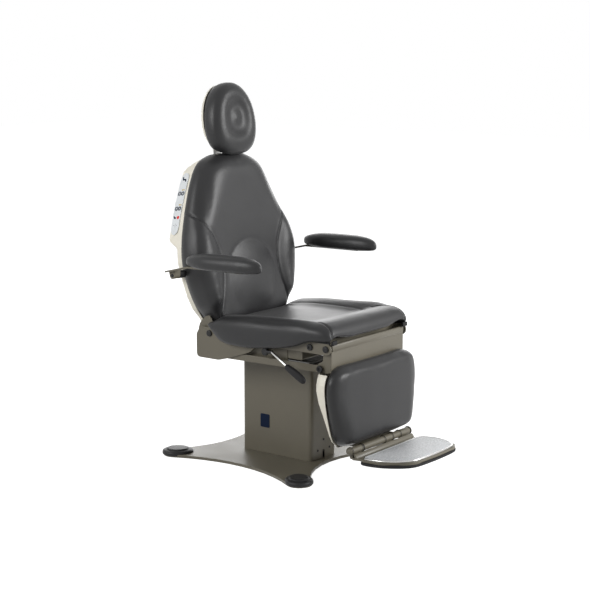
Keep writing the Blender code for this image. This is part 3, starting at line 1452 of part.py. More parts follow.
def barrel_mesh(name, a, b):
    """A hinge barrel along X with a rim at both ends."""
    profile = [
        (HINGE_R + HINGE_RIM, a),
        (HINGE_R + HINGE_RIM, a + 0.003),
        (HINGE_R, a + 0.0045),
        (HINGE_R, b - 0.0045),
        (HINGE_R + HINGE_RIM, b - 0.003),
        (HINGE_R + HINGE_RIM, b),
    ]
    loops = []
    for radius, x in profile:
        loops.append([(x, y, z) for y, z in ring((HINGE_Y, HINGE_Z), radius, 18)])
    return loft_mesh(name, loops)


def build_foot_hinge():
    marks = (-HINGE_HALF, *KNUCKLES, HINGE_HALF)
    barrels = [(a + LAYER / 2, b - LAYER / 2) for a, b in zip(marks, marks[1:])]
    bore = rod_mesh("hinge_bore", -0.4, 0.4, (HINGE_Y, HINGE_Z), HINGE_ROD_R + RUN, 16)
    rear = LEG_PANEL_Y - LEG_PANEL_T - GAP
    level = HINGE_Z + LEAF_T
    first, last = barrels[1][0], barrels[3][1]
    leaf = flat(
        "foot_hinge_leaf",
        [[(first, HINGE_Y + 0.004), (last, HINGE_Y + 0.004), (last, rear), (first, rear)]],
        "XY", level - LEAF_T, level, PAINT, LEG_AXIS,
    )
    for k, (a, b) in enumerate(barrels):
        if k % 2:
            join(leaf, f"leg_barrel_{k}", barrel_mesh("barrel", a, b))
    room = barrels[2]
    reach = HINGE_R + HINGE_RIM + LAYER
    low = (room[0] - LAYER / 2, HINGE_Y - reach, HINGE_Z - reach)
    high = (room[1] + LAYER / 2, HINGE_Y + reach, HINGE_Z + reach)
    cut(leaf, "leaf_room", box_mesh("leaf_room", low, high))
    head = HINGE_HALF + LAYER / 2
    dome = ((0.005, 0.0065), (0.009, 0.004), (HINGE_R, 0), (HINGE_ROD_R, 0))
    half = [(r, head + h) for r, h in dome]
    stations = half + [(r, -x) for r, x in half[::-1]]
    loops = [[(x, y, z) for y, z in ring((HINGE_Y, HINGE_Z), r, 16)] for r, x in stations]
    join(leaf, "hinge_rod", loft_mesh("hinge_rod", loops))
    build_foot_plate(barrels, bore)


def tread_outline(grow=0.0):
    """Rounded plate, straight at the hinge and narrowing to its front edge."""
    half = PAN_HALF + grow
    rear = PAN_EDGE + grow
    tip = PAN_TIP - grow
    flat_half = PAN_FLAT + grow
    return filleted([
        (half - 0.006, rear, 0.022),
        (half, 0.53 * rear + 0.47 * tip, 0.08),
        (flat_half + 0.045, tip, 0.06),
        (-flat_half - 0.045, tip, 0.06),
        (-half, 0.53 * rear + 0.47 * tip, 0.08),
        (-half + 0.006, rear, 0.022),
    ], 7)


def build_foot_plate(barrels, bore):
    foot = FOOT_PAN_TOP - FOOT_PAN_T
    pan = flat("foot_pan", [tread_outline()], "XY", foot, FOOT_PAN_TOP, PAINT, FOOT_AXIS)
    bar_rear = HINGE_Y - 0.006
    bar = rounded_box(HINGE_HALF - 0.002, (bar_rear - PAN_EDGE + 0.012) / 2, 0.006, 3,
                      (0, (bar_rear + PAN_EDGE - 0.012) / 2))
    join(pan, "foot_bar", flat_mesh("foot_bar", [bar], "XY", foot + 0.001, FOOT_PAN_TOP - 0.002))
    for k, (a, b) in enumerate(barrels):
        if k % 2 == 0:
            lug = filleted([
                (HINGE_Y - 0.008, foot + 0.002, 0),
                (HINGE_Y + 0.003, foot + 0.004, 0),
                (HINGE_Y + 0.006, HINGE_Z, 0),
                (HINGE_Y - 0.008, HINGE_Z, 0),
            ], 2)
            join(pan, f"foot_lug_{k}", flat_mesh("lug", [lug], "YZ", a + 0.005, b - 0.005))
            join(pan, f"foot_barrel_{k}", barrel_mesh("barrel", a, b))
    cut(pan, "pan_bore", bore)
    low = FOOT_PAN_TOP + GAP
    flat("foot_tread", [tread_outline(-0.004)], "XY", low, low + TREAD_T, TREAD, FOOT_AXIS, edge=0.0016)
    under = foot - GAP
    flat("foot_bumper", [tread_outline(BUMPER_LIP)], "XY", under - BUMPER_T, under, BLACK, FOOT_AXIS, edge=0.003)
    FOOT_AXIS.rotation_euler.x = -TOE_UP


def main():
    build_base()
    build_swivel(build_column())
    build_seat()
    build_lever()
    build_link()
    build_back()
    build_strip()
    build_arms()
    build_headrest()
    build_leg()


main()
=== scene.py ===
"""Dresses the examination chair: upholstery, finishes, fasteners, control marks and the studio."""

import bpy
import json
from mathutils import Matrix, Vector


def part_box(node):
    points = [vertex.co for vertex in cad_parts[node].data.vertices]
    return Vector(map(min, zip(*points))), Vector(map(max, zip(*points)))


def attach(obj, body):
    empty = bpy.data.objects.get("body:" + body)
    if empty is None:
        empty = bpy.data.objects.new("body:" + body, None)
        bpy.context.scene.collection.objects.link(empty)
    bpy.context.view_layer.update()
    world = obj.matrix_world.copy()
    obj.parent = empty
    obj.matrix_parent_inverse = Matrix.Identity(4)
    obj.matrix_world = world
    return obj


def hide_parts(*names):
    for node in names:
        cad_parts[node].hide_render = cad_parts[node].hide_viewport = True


bl_info = {
    "name": "Examination Chair",
    "version": (1, 0, 0),
    "blender": (4, 5, 0),
    "location": "View3D > Sidebar > Chair",
    "description": "Builds the chair's cushions, finishes and small fittings over its packed frame",
    "category": "Object",
}

import json
import math
from functools import cache

import bmesh
import bpy
import numpy as np
from bpy.props import FloatProperty, FloatVectorProperty, IntProperty, PointerProperty
from mathutils import Matrix, Vector
from mathutils.bvhtree import BVHTree
from mathutils.kdtree import KDTree

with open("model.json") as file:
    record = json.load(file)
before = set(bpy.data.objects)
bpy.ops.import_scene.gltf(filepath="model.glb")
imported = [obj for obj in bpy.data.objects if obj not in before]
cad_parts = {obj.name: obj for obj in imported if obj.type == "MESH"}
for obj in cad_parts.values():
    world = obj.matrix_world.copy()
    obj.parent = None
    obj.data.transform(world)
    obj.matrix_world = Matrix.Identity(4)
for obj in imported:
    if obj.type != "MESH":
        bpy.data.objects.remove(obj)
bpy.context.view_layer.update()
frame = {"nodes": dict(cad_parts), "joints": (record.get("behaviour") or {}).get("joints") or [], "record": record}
NODES = frame["nodes"]
JOINTS = {joint["name"]: joint for joint in frame["joints"]}
BACK_PIVOT = Vector(JOINTS["back_recline"]["pos_m"])
BACK_UP = Vector(JOINTS["headrest_raise"]["axis"])
BACK_AFT = Vector((0, BACK_UP.z, -BACK_UP.y))
LEG_PIVOT = Vector(JOINTS["leg_raise"]["pos_m"])
FOOT_HINGE = Vector(JOINTS["foot_fold"]["pos_m"])
LEVER_EYE = Vector(JOINTS["lock_lever"]["pos_m"])
SIDES = ((-1, "right"), (1, "left"))
RIGHT_ANGLE, FULL_TURN = math.pi / 2, 2 * math.pi


def on_back(x, y, u):
    """World place of a point given in the upright frame of the back."""
    return BACK_PIVOT + Vector((x, 0, 0)) + BACK_AFT * y + BACK_UP * u


def tint(*rgb):
    """Linear colour from display values."""
    return tuple((c / 255 / 12.92) if c <= 10 else ((c / 255 + 0.055) / 1.055) ** 2.4 for c in rgb)


def colour(name, words, rgb):
    return FloatVectorProperty(name=name, description=words, subtype="COLOR", size=3, min=0, max=1, default=tint(*rgb))


def length(name, words, metres):
    return FloatProperty(name=name, description=words, subtype="DISTANCE", unit="LENGTH", default=metres, precision=4)


class ChairSizes(bpy.types.PropertyGroup):
    voxel: length("Cushion mesh", "Size of the mesh that each cushion is sewn from", 0.0055)
    swell: length("Cushion swell", "How far the foam may push its cover out", 0.004)
    soft: IntProperty(name="Softening", description="How many times the soft parts of a cover are rounded off",
                      default=45, min=0, max=200)
    seam_depth: length("Seam depth", "How deep a sewn seam draws the cover in", 0.0030)
    seam_width: length("Seam width", "Half width of the hollow along a seam", 0.0038)
    stitch: length("Stitch", "Length of one stitch", 0.0034)
    thread: length("Thread", "Radius of the sewing thread", 0.00045)
    plate: length("Plate height", "Height of the bare plate on the column", 0.048)
    screw: length("Screw head", "Radius of the screw heads at the foot of the column", 0.0038)
    bolt: length("Bolt head", "Radius of the bolt heads in the linkage", 0.0115)


class ChairColours(bpy.types.PropertyGroup):
    vinyl: colour("Upholstery", "Colour of the vinyl covers", (43, 43, 44))
    paint: colour("Paint", "Colour of the powder coat on the steel frame", (104, 99, 86))
    shell: colour("Shells", "Colour of the moulded shells", (246, 241, 226))
    black: colour("Black mouldings", "Colour of the caps and the bolts", (19, 19, 20))
    rubber: colour("Rubber", "Colour of the lever's grip and the bumpers", (21, 21, 22))
    steel: colour("Steel", "Colour of the bright steel", (190, 190, 188))
    tread: colour("Tread", "Colour of the aluminium tread", (205, 207, 209))
    membrane: colour("Membrane", "Colour of the control strip's film", (238, 242, 244))
    ink: colour("Dark ink", "Colour of the printed button marks", (14, 26, 52))
    signal: colour("Signal ink", "Colour of the printed stop mark", (232, 40, 36))
    lamp: colour("Lamp ink", "Colour of the printed lamp dots", (205, 172, 60))
    plate: colour("Column plate", "Colour of the bare plate on the column", (10, 26, 50))
    floor: colour("Floor", "Colour of the studio floor", (176, 176, 176))


def sizes():
    return bpy.context.scene.chair_sizes


def colours():
    return bpy.context.scene.chair_colours


# Shader nodes


def put(tree, value, socket):
    """Links an output to a socket, or sets the socket to a plain value."""
    if isinstance(value, bpy.types.NodeSocket):
        tree.links.new(value, socket)
    else:
        socket.default_value = value


def node(tree, kind, inputs=None, **values):
    made = tree.nodes.new("ShaderNode" + kind)
    for key, value in values.items():
        setattr(made, key, value)
    for key, value in (inputs or {}).items():
        put(tree, value, made.inputs[key])
    return made


def maths(tree, operation, first, second, clamp=False):
    return node(tree, "Math", {0: first, 1: second}, operation=operation, use_clamp=clamp).outputs[0]


def places(tree):
    return node(tree, "TexCoord").outputs["Object"]


def noise(tree, where, scale, detail=3.0, roughness=0.55):
    inputs = {"Vector": where, "Scale": scale, "Detail": detail, "Roughness": roughness}
    return node(tree, "TexNoise", inputs).outputs["Fac"]


def spread(tree, value, low=0.0, high=1.0):
    """The middle range of a noise spread between two limits."""
    ends = {"Value": value, "From Min": 0.3, "From Max": 0.7, "To Min": low, "To Max": high}
    return node(tree, "MapRange", ends).outputs["Result"]


def shade(tree, mask, first, second):
    """Two colours mixed by a mask."""
    return node(tree, "Mix", {"Factor": mask, 6: first, 7: second}, data_type="RGBA").outputs[2]


def relief(tree, shader, height, distance, strength):
    bump = node(tree, "Bump", {"Strength": strength, "Distance": distance, "Height": height})
    put(tree, bump.outputs["Normal"], shader.inputs["Normal"])
    return bump


def scaled(rgb, factor):
    """A colour made lighter or darker, with full alpha."""
    return (*(min(1.0, c * factor) for c in rgb[:3]), 1.0)


# Node groups for effects that several finishes share


def new_group(name, ins, outs):
    tree = bpy.data.node_groups.new(name, "ShaderNodeTree")
    for label, default in ins.items():
        socket = tree.interface.new_socket(label, in_out="INPUT", socket_type="NodeSocketFloat")
        socket.default_value = default
    for label in outs:
        kind = "NodeSocketVector" if label == "Normal" else "NodeSocketFloat"
        tree.interface.new_socket(label, in_out="OUTPUT", socket_type=kind)
    return tree, tree.nodes.new("NodeGroupInput"), tree.nodes.new("NodeGroupOutput")


@cache
def vinyl_grain():
    """Pebbled grain of embossed vinyl, with a slow change of tone and gloss over the cover."""
    tree, start, end = new_group("Vinyl grain", {"Pebbles": 780.0, "Slow": 9.0}, ("Height", "Tone", "Gloss"))
    where, pebbles = places(tree), start.outputs["Pebbles"]
    cells = node(tree, "TexVoronoi", {"Vector": where, "Scale": pebbles}, feature="SMOOTH_F1")
    fine = noise(tree, where, maths(tree, "MULTIPLY", pebbles, 1.7), 2.0)
    slow = noise(tree, where, start.outputs["Slow"], 4.0)
    put(tree, maths(tree, "ADD", cells.outputs["Distance"], maths(tree, "MULTIPLY", fine, 0.5)), end.inputs["Height"])
    put(tree, slow, end.inputs["Tone"])
    gloss = maths(tree, "ADD", maths(tree, "MULTIPLY", slow, 0.6), maths(tree, "MULTIPLY", fine, 0.4))
    put(tree, gloss, end.inputs["Gloss"])
    return tree


@cache
def moulded():
    """Fine spark texture of a moulding or a sprayed coat, with slow variation."""
    tree, start, end = new_group("Moulded texture", {"Specks": 1400.0, "Slow": 6.0}, ("Height", "Tone"))
    where = places(tree)
    put(tree, noise(tree, where, start.outputs["Specks"], 2.0, 0.6), end.inputs["Height"])
    put(tree, noise(tree, where, start.outputs["Slow"], 4.0), end.inputs["Tone"])
    return tree


@cache
def edge_wear():
    """Mask of rubbed edges: where a rounded normal leaves the true one, broken up by noise."""
    tree, start, end = new_group("Edge wear", {"Reach": 0.0015, "Patches": 60.0}, ("Mask", "Normal"))
    bevel = node(tree, "Bevel", {"Radius": start.outputs["Reach"]}, samples=6).outputs["Normal"]
    true = node(tree, "NewGeometry").outputs["Normal"]
    dot = node(tree, "VectorMath", {0: bevel, 1: true}, operation="DOT_PRODUCT").outputs["Value"]
    patches = noise(tree, places(tree), start.outputs["Patches"], 5.0, 0.65)
    broken = maths(tree, "MULTIPLY", maths(tree, "SUBTRACT", 1.0, dot), maths(tree, "MULTIPLY", patches, 5.0))
    put(tree, maths(tree, "MULTIPLY", broken, 1.0, True), end.inputs["Mask"])
    put(tree, bevel, end.inputs["Normal"])
    return tree


@cache
def brushed():
    """Fine lines along X, as left by brushing or rolling."""
    tree, start, end = new_group("Brushed lines", {"Lines": 900.0}, ("Height", "Tone"))
    stretch = node(tree, "Mapping", {"Vector": places(tree), "Scale": (0.03, 1.0, 1.0)}).outputs["Vector"]
    put(tree, noise(tree, stretch, start.outputs["Lines"]), end.inputs["Height"])
    put(tree, noise(tree, places(tree), 14.0, 4.0), end.inputs["Tone"])
    return tree


# Finishes


def effect(tree, group, **values):
    return node(tree, "Group", values, node_tree=group()).outputs


def start_finish(name, rgb, roughness, metallic=0.0, shine=0.5):
    made = bpy.data.materials.new(name)
    made.use_nodes = True
    shader = made.node_tree.nodes["Principled BSDF"]
    values = {"Base Color": rgb, "Roughness": roughness, "Metallic": metallic, "Specular IOR Level": shine}
    for key, value in values.items():
        shader.inputs[key].default_value = value
    return made, made.node_tree, shader


def mottle(tree, shader, mask, rgb, low, high):
    """Changes a base colour between a darker and a lighter share of it."""
    put(tree, shade(tree, spread(tree, mask), scaled(rgb, low), scaled(rgb, high)), shader.inputs["Base Color"])


def vinyl(name, rgb):
    made, tree, shader = start_finish(name, rgb, 0.4, shine=0.29)
    shader.inputs["Sheen Weight"].default_value = 0.03
    grain = effect(tree, vinyl_grain, Pebbles=820.0, Slow=8.0)
    mottle(tree, shader, grain["Tone"], rgb, 0.88, 1.1)
    put(tree, spread(tree, grain["Gloss"], 0.34, 0.44), shader.inputs["Roughness"])
    relief(tree, shader, grain["Height"], 0.00025, 0.5)
    return made


def coat(name, rgb, roughness, shine, specks, depth, worn):
    made, tree, shader = start_finish(name, rgb, roughness, shine=shine)
    texture = effect(tree, moulded, Specks=specks, Slow=5.0)
    wear = effect(tree, edge_wear, Reach=0.0014, Patches=70.0)
    base = shade(tree, spread(tree, texture["Tone"]), scaled(rgb, 0.93), scaled(rgb, 1.06))
    put(tree, shade(tree, wear["Mask"], base, scaled(rgb, worn)), shader.inputs["Base Color"])
    put(tree, spread(tree, texture["Tone"], roughness - 0.05, roughness + 0.06), shader.inputs["Roughness"])
    bump = relief(tree, shader, texture["Height"], depth, 0.4)
    put(tree, wear["Normal"], bump.inputs["Normal"])
    return made


def metal(name, rgb, roughness, lines):
    made, tree, shader = start_finish(name, rgb, roughness, 1.0)
    grain = effect(tree, brushed, Lines=lines)
    mottle(tree, shader, grain["Tone"], rgb, 0.9, 1.05)
    put(tree, spread(tree, grain["Height"], roughness - 0.04, roughness + 0.08), shader.inputs["Roughness"])
    relief(tree, shader, grain["Height"], 0.00005, 0.4)
    return made


def speckled(name, rgb):
    made, tree, shader = start_finish(name, rgb, 0.55, 0.12)
    texture = effect(tree, moulded, Specks=210.0, Slow=12.0)
    grain = effect(tree, brushed, Lines=600.0)
    mottle(tree, shader, texture["Height"], rgb, 0.62, 1.12)
    put(tree, spread(tree, grain["Height"], 0.48, 0.62), shader.inputs["Roughness"])
    relief(tree, shader, texture["Height"], 0.0003, 0.35)
    return made


def film(name, rgb, roughness, shine):
    made, tree, shader = start_finish(name, rgb, roughness, shine=shine)
    texture = effect(tree, moulded, Specks=2200.0, Slow=20.0)
    mottle(tree, shader, texture["Tone"], rgb, 0.96, 1.03)
    relief(tree, shader, texture["Height"], 0.00005, 0.4)
    return made


# Maker, name, colour and its share of light, then what the maker takes
FINISHES = {
    "vinyl": (vinyl, "charcoal_vinyl", "vinyl", 1.0),
    # The leg cushion's vinyl is the same vinyl at 0.84 of its colour: painted shade, for the leg rest lying in less
    # light than the back.
    "leg_vinyl": (vinyl, "leg_vinyl", "vinyl", 0.84),
    "paint": (coat, "powder_coat", "paint", 1.0, 0.43, 0.4, 1100.0, 0.00016, 1.45),
    "shell": (coat, "cream_moulding", "shell", 1.0, 0.4, 0.5, 1600.0, 0.0001, 1.05),
    "black": (coat, "black_moulding", "black", 1.0, 0.5, 0.3, 1300.0, 0.0002, 2.6),
    "rubber": (coat, "black_rubber", "rubber", 1.0, 0.68, 0.25, 900.0, 0.0002, 1.8),
    # The thread's finish also colours the cord in each seam, where its dark is painted shade of the groove as well as
    # thread.
    "thread": (coat, "sewing_thread", "vinyl", 0.45, 0.6, 0.3, 2400.0, 0.0001, 1.3),
    "steel": (metal, "bright_steel", "steel", 1.0, 0.2, 1200.0),
    "satin": (metal, "satin_steel", "steel", 0.4, 0.45, 1000.0),
    "tread": (speckled, "tread_aluminium", "tread", 1.0),
    "membrane": (film, "membrane_film", "membrane", 1.0, 0.38, 0.3),
    "ink": (film, "dark_ink", "ink", 1.0, 0.5, 0.1),
    "signal": (film, "signal_ink", "signal", 1.0, 0.38, 0.3),
    "lamp": (film, "lamp_ink", "lamp", 1.0, 0.38, 0.3),
    "plate": (film, "column_plate", "plate", 1.0, 0.5, 0.1),
}
SLOT_LOOKS = {"foot_cap": "black", "bolt": "black", "guide": "black", "drive": "black", "grip": "rubber",
              "upholstery": "vinyl", "button": "membrane"}
# The recline rod takes the black moulding in place of bright steel: painted shade, for the shadow it lies in under the
# seat.
NODE_LOOKS = {"recline_motor": "paint", "recline_rod": "black", "swivel_bearing": "black", "lift_mast": "satin"}


@cache
def finish(look):
    maker, name, base, light, *values = FINISHES[look]
    return maker(name, scaled(getattr(colours(), base), light), *values)


# Meshes


def in_scene(name, data):
    made = bpy.data.objects.new(name, data)
    bpy.context.scene.collection.objects.link(made)
    return made


def piece(name, mesh, look, body, stands_for=()):
    """Puts a mesh into the scene as one piece of the chair."""
    made = in_scene(name, mesh)
    mesh.materials.clear()
    mesh.materials.append(finish(look))
    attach(made, body)
    if stands_for:
        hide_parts(*stands_for)
    return made


def curve(xs, ys, at):
    """A smooth curve through the values at rising places, read at one place."""
    slopes = np.gradient(ys, xs, axis=0)
    i = int(min(np.searchsorted(xs, at, side="right"), len(xs) - 1)) - 1
    span = xs[i + 1] - xs[i]
    t = (at - xs[i]) / span
    start = ys[i] * (1 + 2 * t) * (1 - t) ** 2 + slopes[i] * span * t * (1 - t) ** 2
    return start + ys[i + 1] * t * t * (3 - 2 * t) + slopes[i + 1] * span * t * t * (t - 1)


def through(table, at):
    """A smooth curve through (place, value) pairs, read at one place."""
    xs, ys = np.array(table).T
    return float(curve(xs, ys, min(max(at, xs[0]), xs[-1])))


def ease(value, low, high):
    t = min(max((value - low) / (high - low), 0), 1)
    return t * t * (3 - 2 * t)


def fair(points, count):
    """Evenly spaced points on a smooth curve through the given ones."""
    points = np.array(points, float)
    reach = np.concatenate([[0], np.cumsum(np.linalg.norm(np.diff(points, axis=0), axis=1))])
    return np.array([curve(reach, points, s) for s in np.linspace(0, reach[-1], count)])


def dense(path, step=0.0015):
    path = np.array(path, float)
    total = np.linalg.norm(np.diff(path, axis=0), axis=1).sum()
    return fair(path, max(8, int(total / step)))


def ring_of(half, count):
    """A closed loop from the points of its +X half."""
    half = fair(half, count)
    other = half[::-1].copy()[1:-1]
    other[:, 0] *= -1
    return np.concatenate([half, other])


def circle(count):
    return np.linspace(0, FULL_TURN, count, endpoint=False)


def powered(value, power):
    """A power that keeps the sign, which squares a round section up."""
    return math.copysign(abs(value) ** power, value)


def baked(bm, name):
    mesh = bpy.data.meshes.new(name)
    bm.to_mesh(mesh)
    bm.free()
    return mesh


def smooth(mesh, sharp=0):
    """Shades a mesh smooth, apart from edges that turn by more than an angle in degrees."""
    mesh.shade_smooth()
    if sharp:
        mesh.set_sharp_from_angle(angle=math.radians(sharp))
    return mesh


def bridge(bm, low, high):
    for i in range(len(low)):
        j = (i + 1) % len(low)
        bm.faces.new((low[i], low[j], high[j], high[i]))


def loft(name, loops):
    """A closed body through loops of equally many points."""
    bm = bmesh.new()
    rows = [[bm.verts.new(p) for p in loop] for loop in loops]
    for low, high in zip(rows, rows[1:]):
        bridge(bm, low, high)
    bm.faces.new(rows[0][::-1])
    bm.faces.new(rows[-1])
    bmesh.ops.recalc_face_normals(bm, faces=bm.faces)
    return baked(bm, name)


def drawn_out(name, section, stops, place, middle=None):
    """A bar of one section through stops of (place along it, scale), so that its ends can draw in."""
    section = np.array(section)
    middle = section.mean(axis=0) if middle is None else np.array(middle)
    loops = [[place(s, a, b) for a, b in middle + (section - middle) * scale] for s, scale in stops]
    return smooth(loft(name, loops), 40)


def applied(made):
    """An object with its modifiers applied to its mesh."""
    shaped = made.evaluated_get(bpy.context.evaluated_depsgraph_get())
    mesh = bpy.data.meshes.new_from_object(shaped)
    made.modifiers.clear()
    made.data = mesh
    return made


def read(mesh, what):
    """The places or the normals of a mesh's vertices."""
    flat = np.empty(len(mesh.vertices) * 3)
    mesh.vertices.foreach_get(what, flat)
    return flat.reshape(-1, 3)


def set_coords(mesh, points):
    mesh.vertices.foreach_set("co", points.ravel())
    mesh.update()


def skin(mesh, place=Matrix()):
    """The surface of a mesh, to look up nearest places and hits."""
    return BVHTree.FromPolygons([place @ v.co for v in mesh.vertices], [p.vertices for p in mesh.polygons])


def world_points(name):
    part = NODES[name]
    return [part.matrix_world @ v.co for v in part.data.vertices]


# Sewing

CLOTH = {"quality": 4, "mass": 0.4, "tension_stiffness": 40, "compression_stiffness": 40, "bending_stiffness": 8,
         "use_pressure": True, "uniform_pressure_force": 4}
CLOTH_FRAMES = 20


def sew(name, mesh, cap, toward, voxel=None, soft=None):
    """A stuffed cover: remeshed, swollen a little by cloth pressure on its used side, and subdivided."""
    made = in_scene(name, mesh)
    remesh = made.modifiers.new("cover", "REMESH")
    remesh.mode = "VOXEL"
    remesh.voxel_size = voxel or sizes().voxel
    applied(made)
    iron = made.modifiers.new("iron", "CORRECTIVE_SMOOTH")
    iron.iterations = 12
    iron.use_only_smooth = True
    applied(made)
    if soft:
        soften(made, soft)
    swell(made, cap, toward)
    divide = made.modifiers.new("fine", "SUBSURF")
    divide.levels = divide.render_levels = 1
    data = smooth(applied(made).data)
    bpy.data.objects.remove(made)
    return data


def soften(made, weight):
    """Rounds part of a cover off, as far as each point's weight lets it."""
    group = made.vertex_groups.new(name="soft")
    for i, place in enumerate(read(made.data, "co")):
        share = weight(place)
        if share > 0.01:
            group.add([i], share, "REPLACE")
    rounding = made.modifiers.new("soft", "SMOOTH")
    rounding.vertex_group = "soft"
    rounding.factor = 0.5
    rounding.iterations = sizes().soft
    applied(made)


def swell(made, cap, toward):
    """Lets pressure fill the cover and keeps the even part of its rise, capped."""
    before, normals = read(made.data, "co"), read(made.data, "normal")
    cloth = made.modifiers.new("cloth", "CLOTH")
    for key, value in CLOTH.items():
        setattr(cloth.settings, key, value)
    cloth.settings.effector_weights.gravity = 0
    cloth.collision_settings.use_collision = False
    cloth.point_cache.frame_start = 1
    cloth.point_cache.frame_end = CLOTH_FRAMES
    scene = bpy.context.scene
    for step in range(1, CLOTH_FRAMES + 1):
        scene.frame_set(step)
        made.evaluated_get(bpy.context.evaluated_depsgraph_get())
    applied(made)
    scene.frame_set(1)
    rise = np.clip(((read(made.data, "co") - before) * normals).sum(axis=1), 0, cap)
    rise *= np.clip(normals @ np.array(toward), 0, 1)
    edges = np.empty(len(made.data.edges) * 2, np.int64)
    made.data.edges.foreach_get("vertices", edges)
    a, b = edges.reshape(-1, 2).T
    count = np.bincount(edges, minlength=len(rise))
    for _ in range(16):
        around = np.bincount(a, rise[b], len(rise)) + np.bincount(b, rise[a], len(rise))
        rise = 0.5 * rise + 0.5 * around / np.maximum(count, 1)
    set_coords(made.data, before + normals * rise[:, None])


def draw_in(mesh, path, depth, width, ridge=0.0, fade=0.0):
    """Draws the cover in along a seam, with an optional soft ridge on both sides and fading ends."""
    path = dense(path)
    tree = KDTree(len(path))
    for i, p in enumerate(path):
        tree.insert(p, i)
    tree.balance()
    points, normals = read(mesh, "co"), read(mesh, "normal")
    reach = 5 * width
    near = ((points > path.min(axis=0) - reach) & (points < path.max(axis=0) + reach)).all(axis=1)
    for i in np.nonzero(near)[0]:
        _, at, d = tree.find(points[i])
        if d < reach:
            fall = depth * math.exp(-((d / width) ** 2))
            if fade:
                fall *= ease(min(at, len(path) - 1 - at) / len(path), 0, fade)
            rise = ridge * math.exp(-(((d - 2.4 * width) / (1.2 * width)) ** 2))
            points[i] += normals[i] * (rise - fall)
    set_coords(mesh, points)


def stitches(name, mesh, path, body, off):
    """A row of short stitches laid on a cover beside a seam."""
    cover = skin(mesh)
    step, radius = sizes().stitch, sizes().thread
    line = dense(path, step * 0.5)
    bm = bmesh.new()
    for pair in zip(line[0::4], line[2::4]):
        ends = [cover.find_nearest(Vector(p)) for p in pair]
        low, high = (place + normal * radius * 0.3 for place, normal, *_ in ends)
        along = high - low
        if along.length < step * 0.3:
            continue
        turn = along.to_track_quat("Z", "Y").to_matrix().to_4x4()
        turn.translation = (low + high) / 2 + along.cross(ends[0][1]).normalized() * off
        made = bmesh.ops.create_uvsphere(bm, u_segments=6, v_segments=5, radius=1)["verts"]
        shape = Matrix.Diagonal((radius, radius, along.length * 0.5, 1))
        bmesh.ops.transform(bm, matrix=turn @ shape, verts=made)
    piece(name, smooth(baked(bm, name)), "thread", body)


def seam_shade_line(name, mesh, path, body):
    """A dark cord laid in the bottom of a seam where two panels of a cover meet: partly the seam's sewn line, partly
    painted shade of the groove, which the cover's mesh is too coarse to hold.
    """
    cover = skin(mesh)
    radius = sizes().thread * 1.1
    line = dense(path, 0.002)
    last = len(line) - 1
    loops = []
    for i, p in enumerate(line):
        ahead = Vector(line[min(i + 1, last)] - line[max(i - 1, 0)]).normalized()
        place, normal = cover.find_nearest(Vector(p))[:2]
        side = ahead.cross(normal).normalized()
        up = side.cross(ahead)
        slim = radius * (0.3 if i in (0, last) else 1.0)
        loops.append([place + side * slim * math.cos(t) + up * slim * math.sin(t) for t in circle(8)])
    # The cord's dark colour stands partly for the sewn line and partly for painted shade of the seam's groove.
    piece(name, smooth(loft(name, loops)), "thread", body)


def seam(name, mesh, path, body, side, depth, ridge):
    """A drawn-in seam with its dark line, partly painted shade of the groove, and a row of stitches."""
    draw_in(mesh, path, sizes().seam_depth * depth, sizes().seam_width, ridge)
    seam_shade_line(name.format("seam"), mesh, path, body)
    stitches(name.format("stitches"), mesh, path, body, 0.0035 * side)


def on_cover(mesh, points):
    """Points dropped on to the nearest place of a cover."""
    cover = skin(mesh)
    return [cover.find_nearest(Vector(p), 0.06)[0] or Vector(p) for p in points]


def mirrored(half):
    """An open path from its +X half, which ends on the middle line."""
    return [(-x, y) for x, y in half] + list(half[-2::-1])


def upholstery(name, mesh, body, stands_for, look="vinyl"):
    piece(name, mesh, look, body, (stands_for,))


# Seat: half width, hem and crest by place along Y

SEAT_FRONT, SEAT_REAR, SEAT_NOSE = -0.346, 0.171, 0.036
SEAT_HALF = ((SEAT_FRONT, 0.227), (-0.325, 0.238), (-0.28, 0.248), (-0.1, 0.257), (0.08, 0.258), (SEAT_REAR, 0.248))
SEAT_HEM = ((SEAT_FRONT, 0.4737), (-0.322, 0.4735), (-0.256, 0.4675), (-0.222, 0.453), (-0.150, 0.436),
            (-0.087, 0.427), (0.042, 0.420), (0.115, 0.430), (SEAT_REAR, 0.474))
SEAT_CREST = ((SEAT_FRONT, 0.498), (-0.335, 0.518), (-0.315, 0.5275), (-0.270, 0.533), (-0.1, 0.5295),
              (0.06, 0.519), (0.130, 0.508), (SEAT_REAR, 0.491))
SEAT_CORNER = ((0.212, -0.350, 0.492), (0.214, -0.346, 0.506), (0.211, -0.334, 0.520), (0.205, -0.310, 0.527),
               (0.196, -0.280, 0.529), (0.184, -0.255, 0.526), (0.170, -0.235, 0.518))
SEAT_BORDER = ((0.158, 0.135), (0.158, 0.0), (0.157, -0.12), (0.150, -0.195), (0.128, -0.232), (0.07, -0.243),
               (0.0, -0.245))
SEAT_DISH, DISH_FALL, SKIRT_IN = 0.507, 0.012, 0.2245
PAN_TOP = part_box("seat_pan")[1].z
PAN_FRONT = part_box("seat_pan")[0].y
PAN_FALL = math.tan(math.radians(1.9))
BACK_ROOM = Matrix.LocRotScale(Vector((0, 0.22, 0.5)), None, Vector((0.4504, 0.16, 0.2)))


def seat_height(x, y):
    """Top of the seat: a dished middle inside a raised roll round the sides and the front."""
    crest = through(SEAT_CREST, y)
    low = min(SEAT_DISH - DISH_FALL * ease(y, 0.0, 0.14), crest)
    return low + (crest - low) * max(ease(abs(x), 0.115, 0.210), ease(-y, 0.165, 0.300))


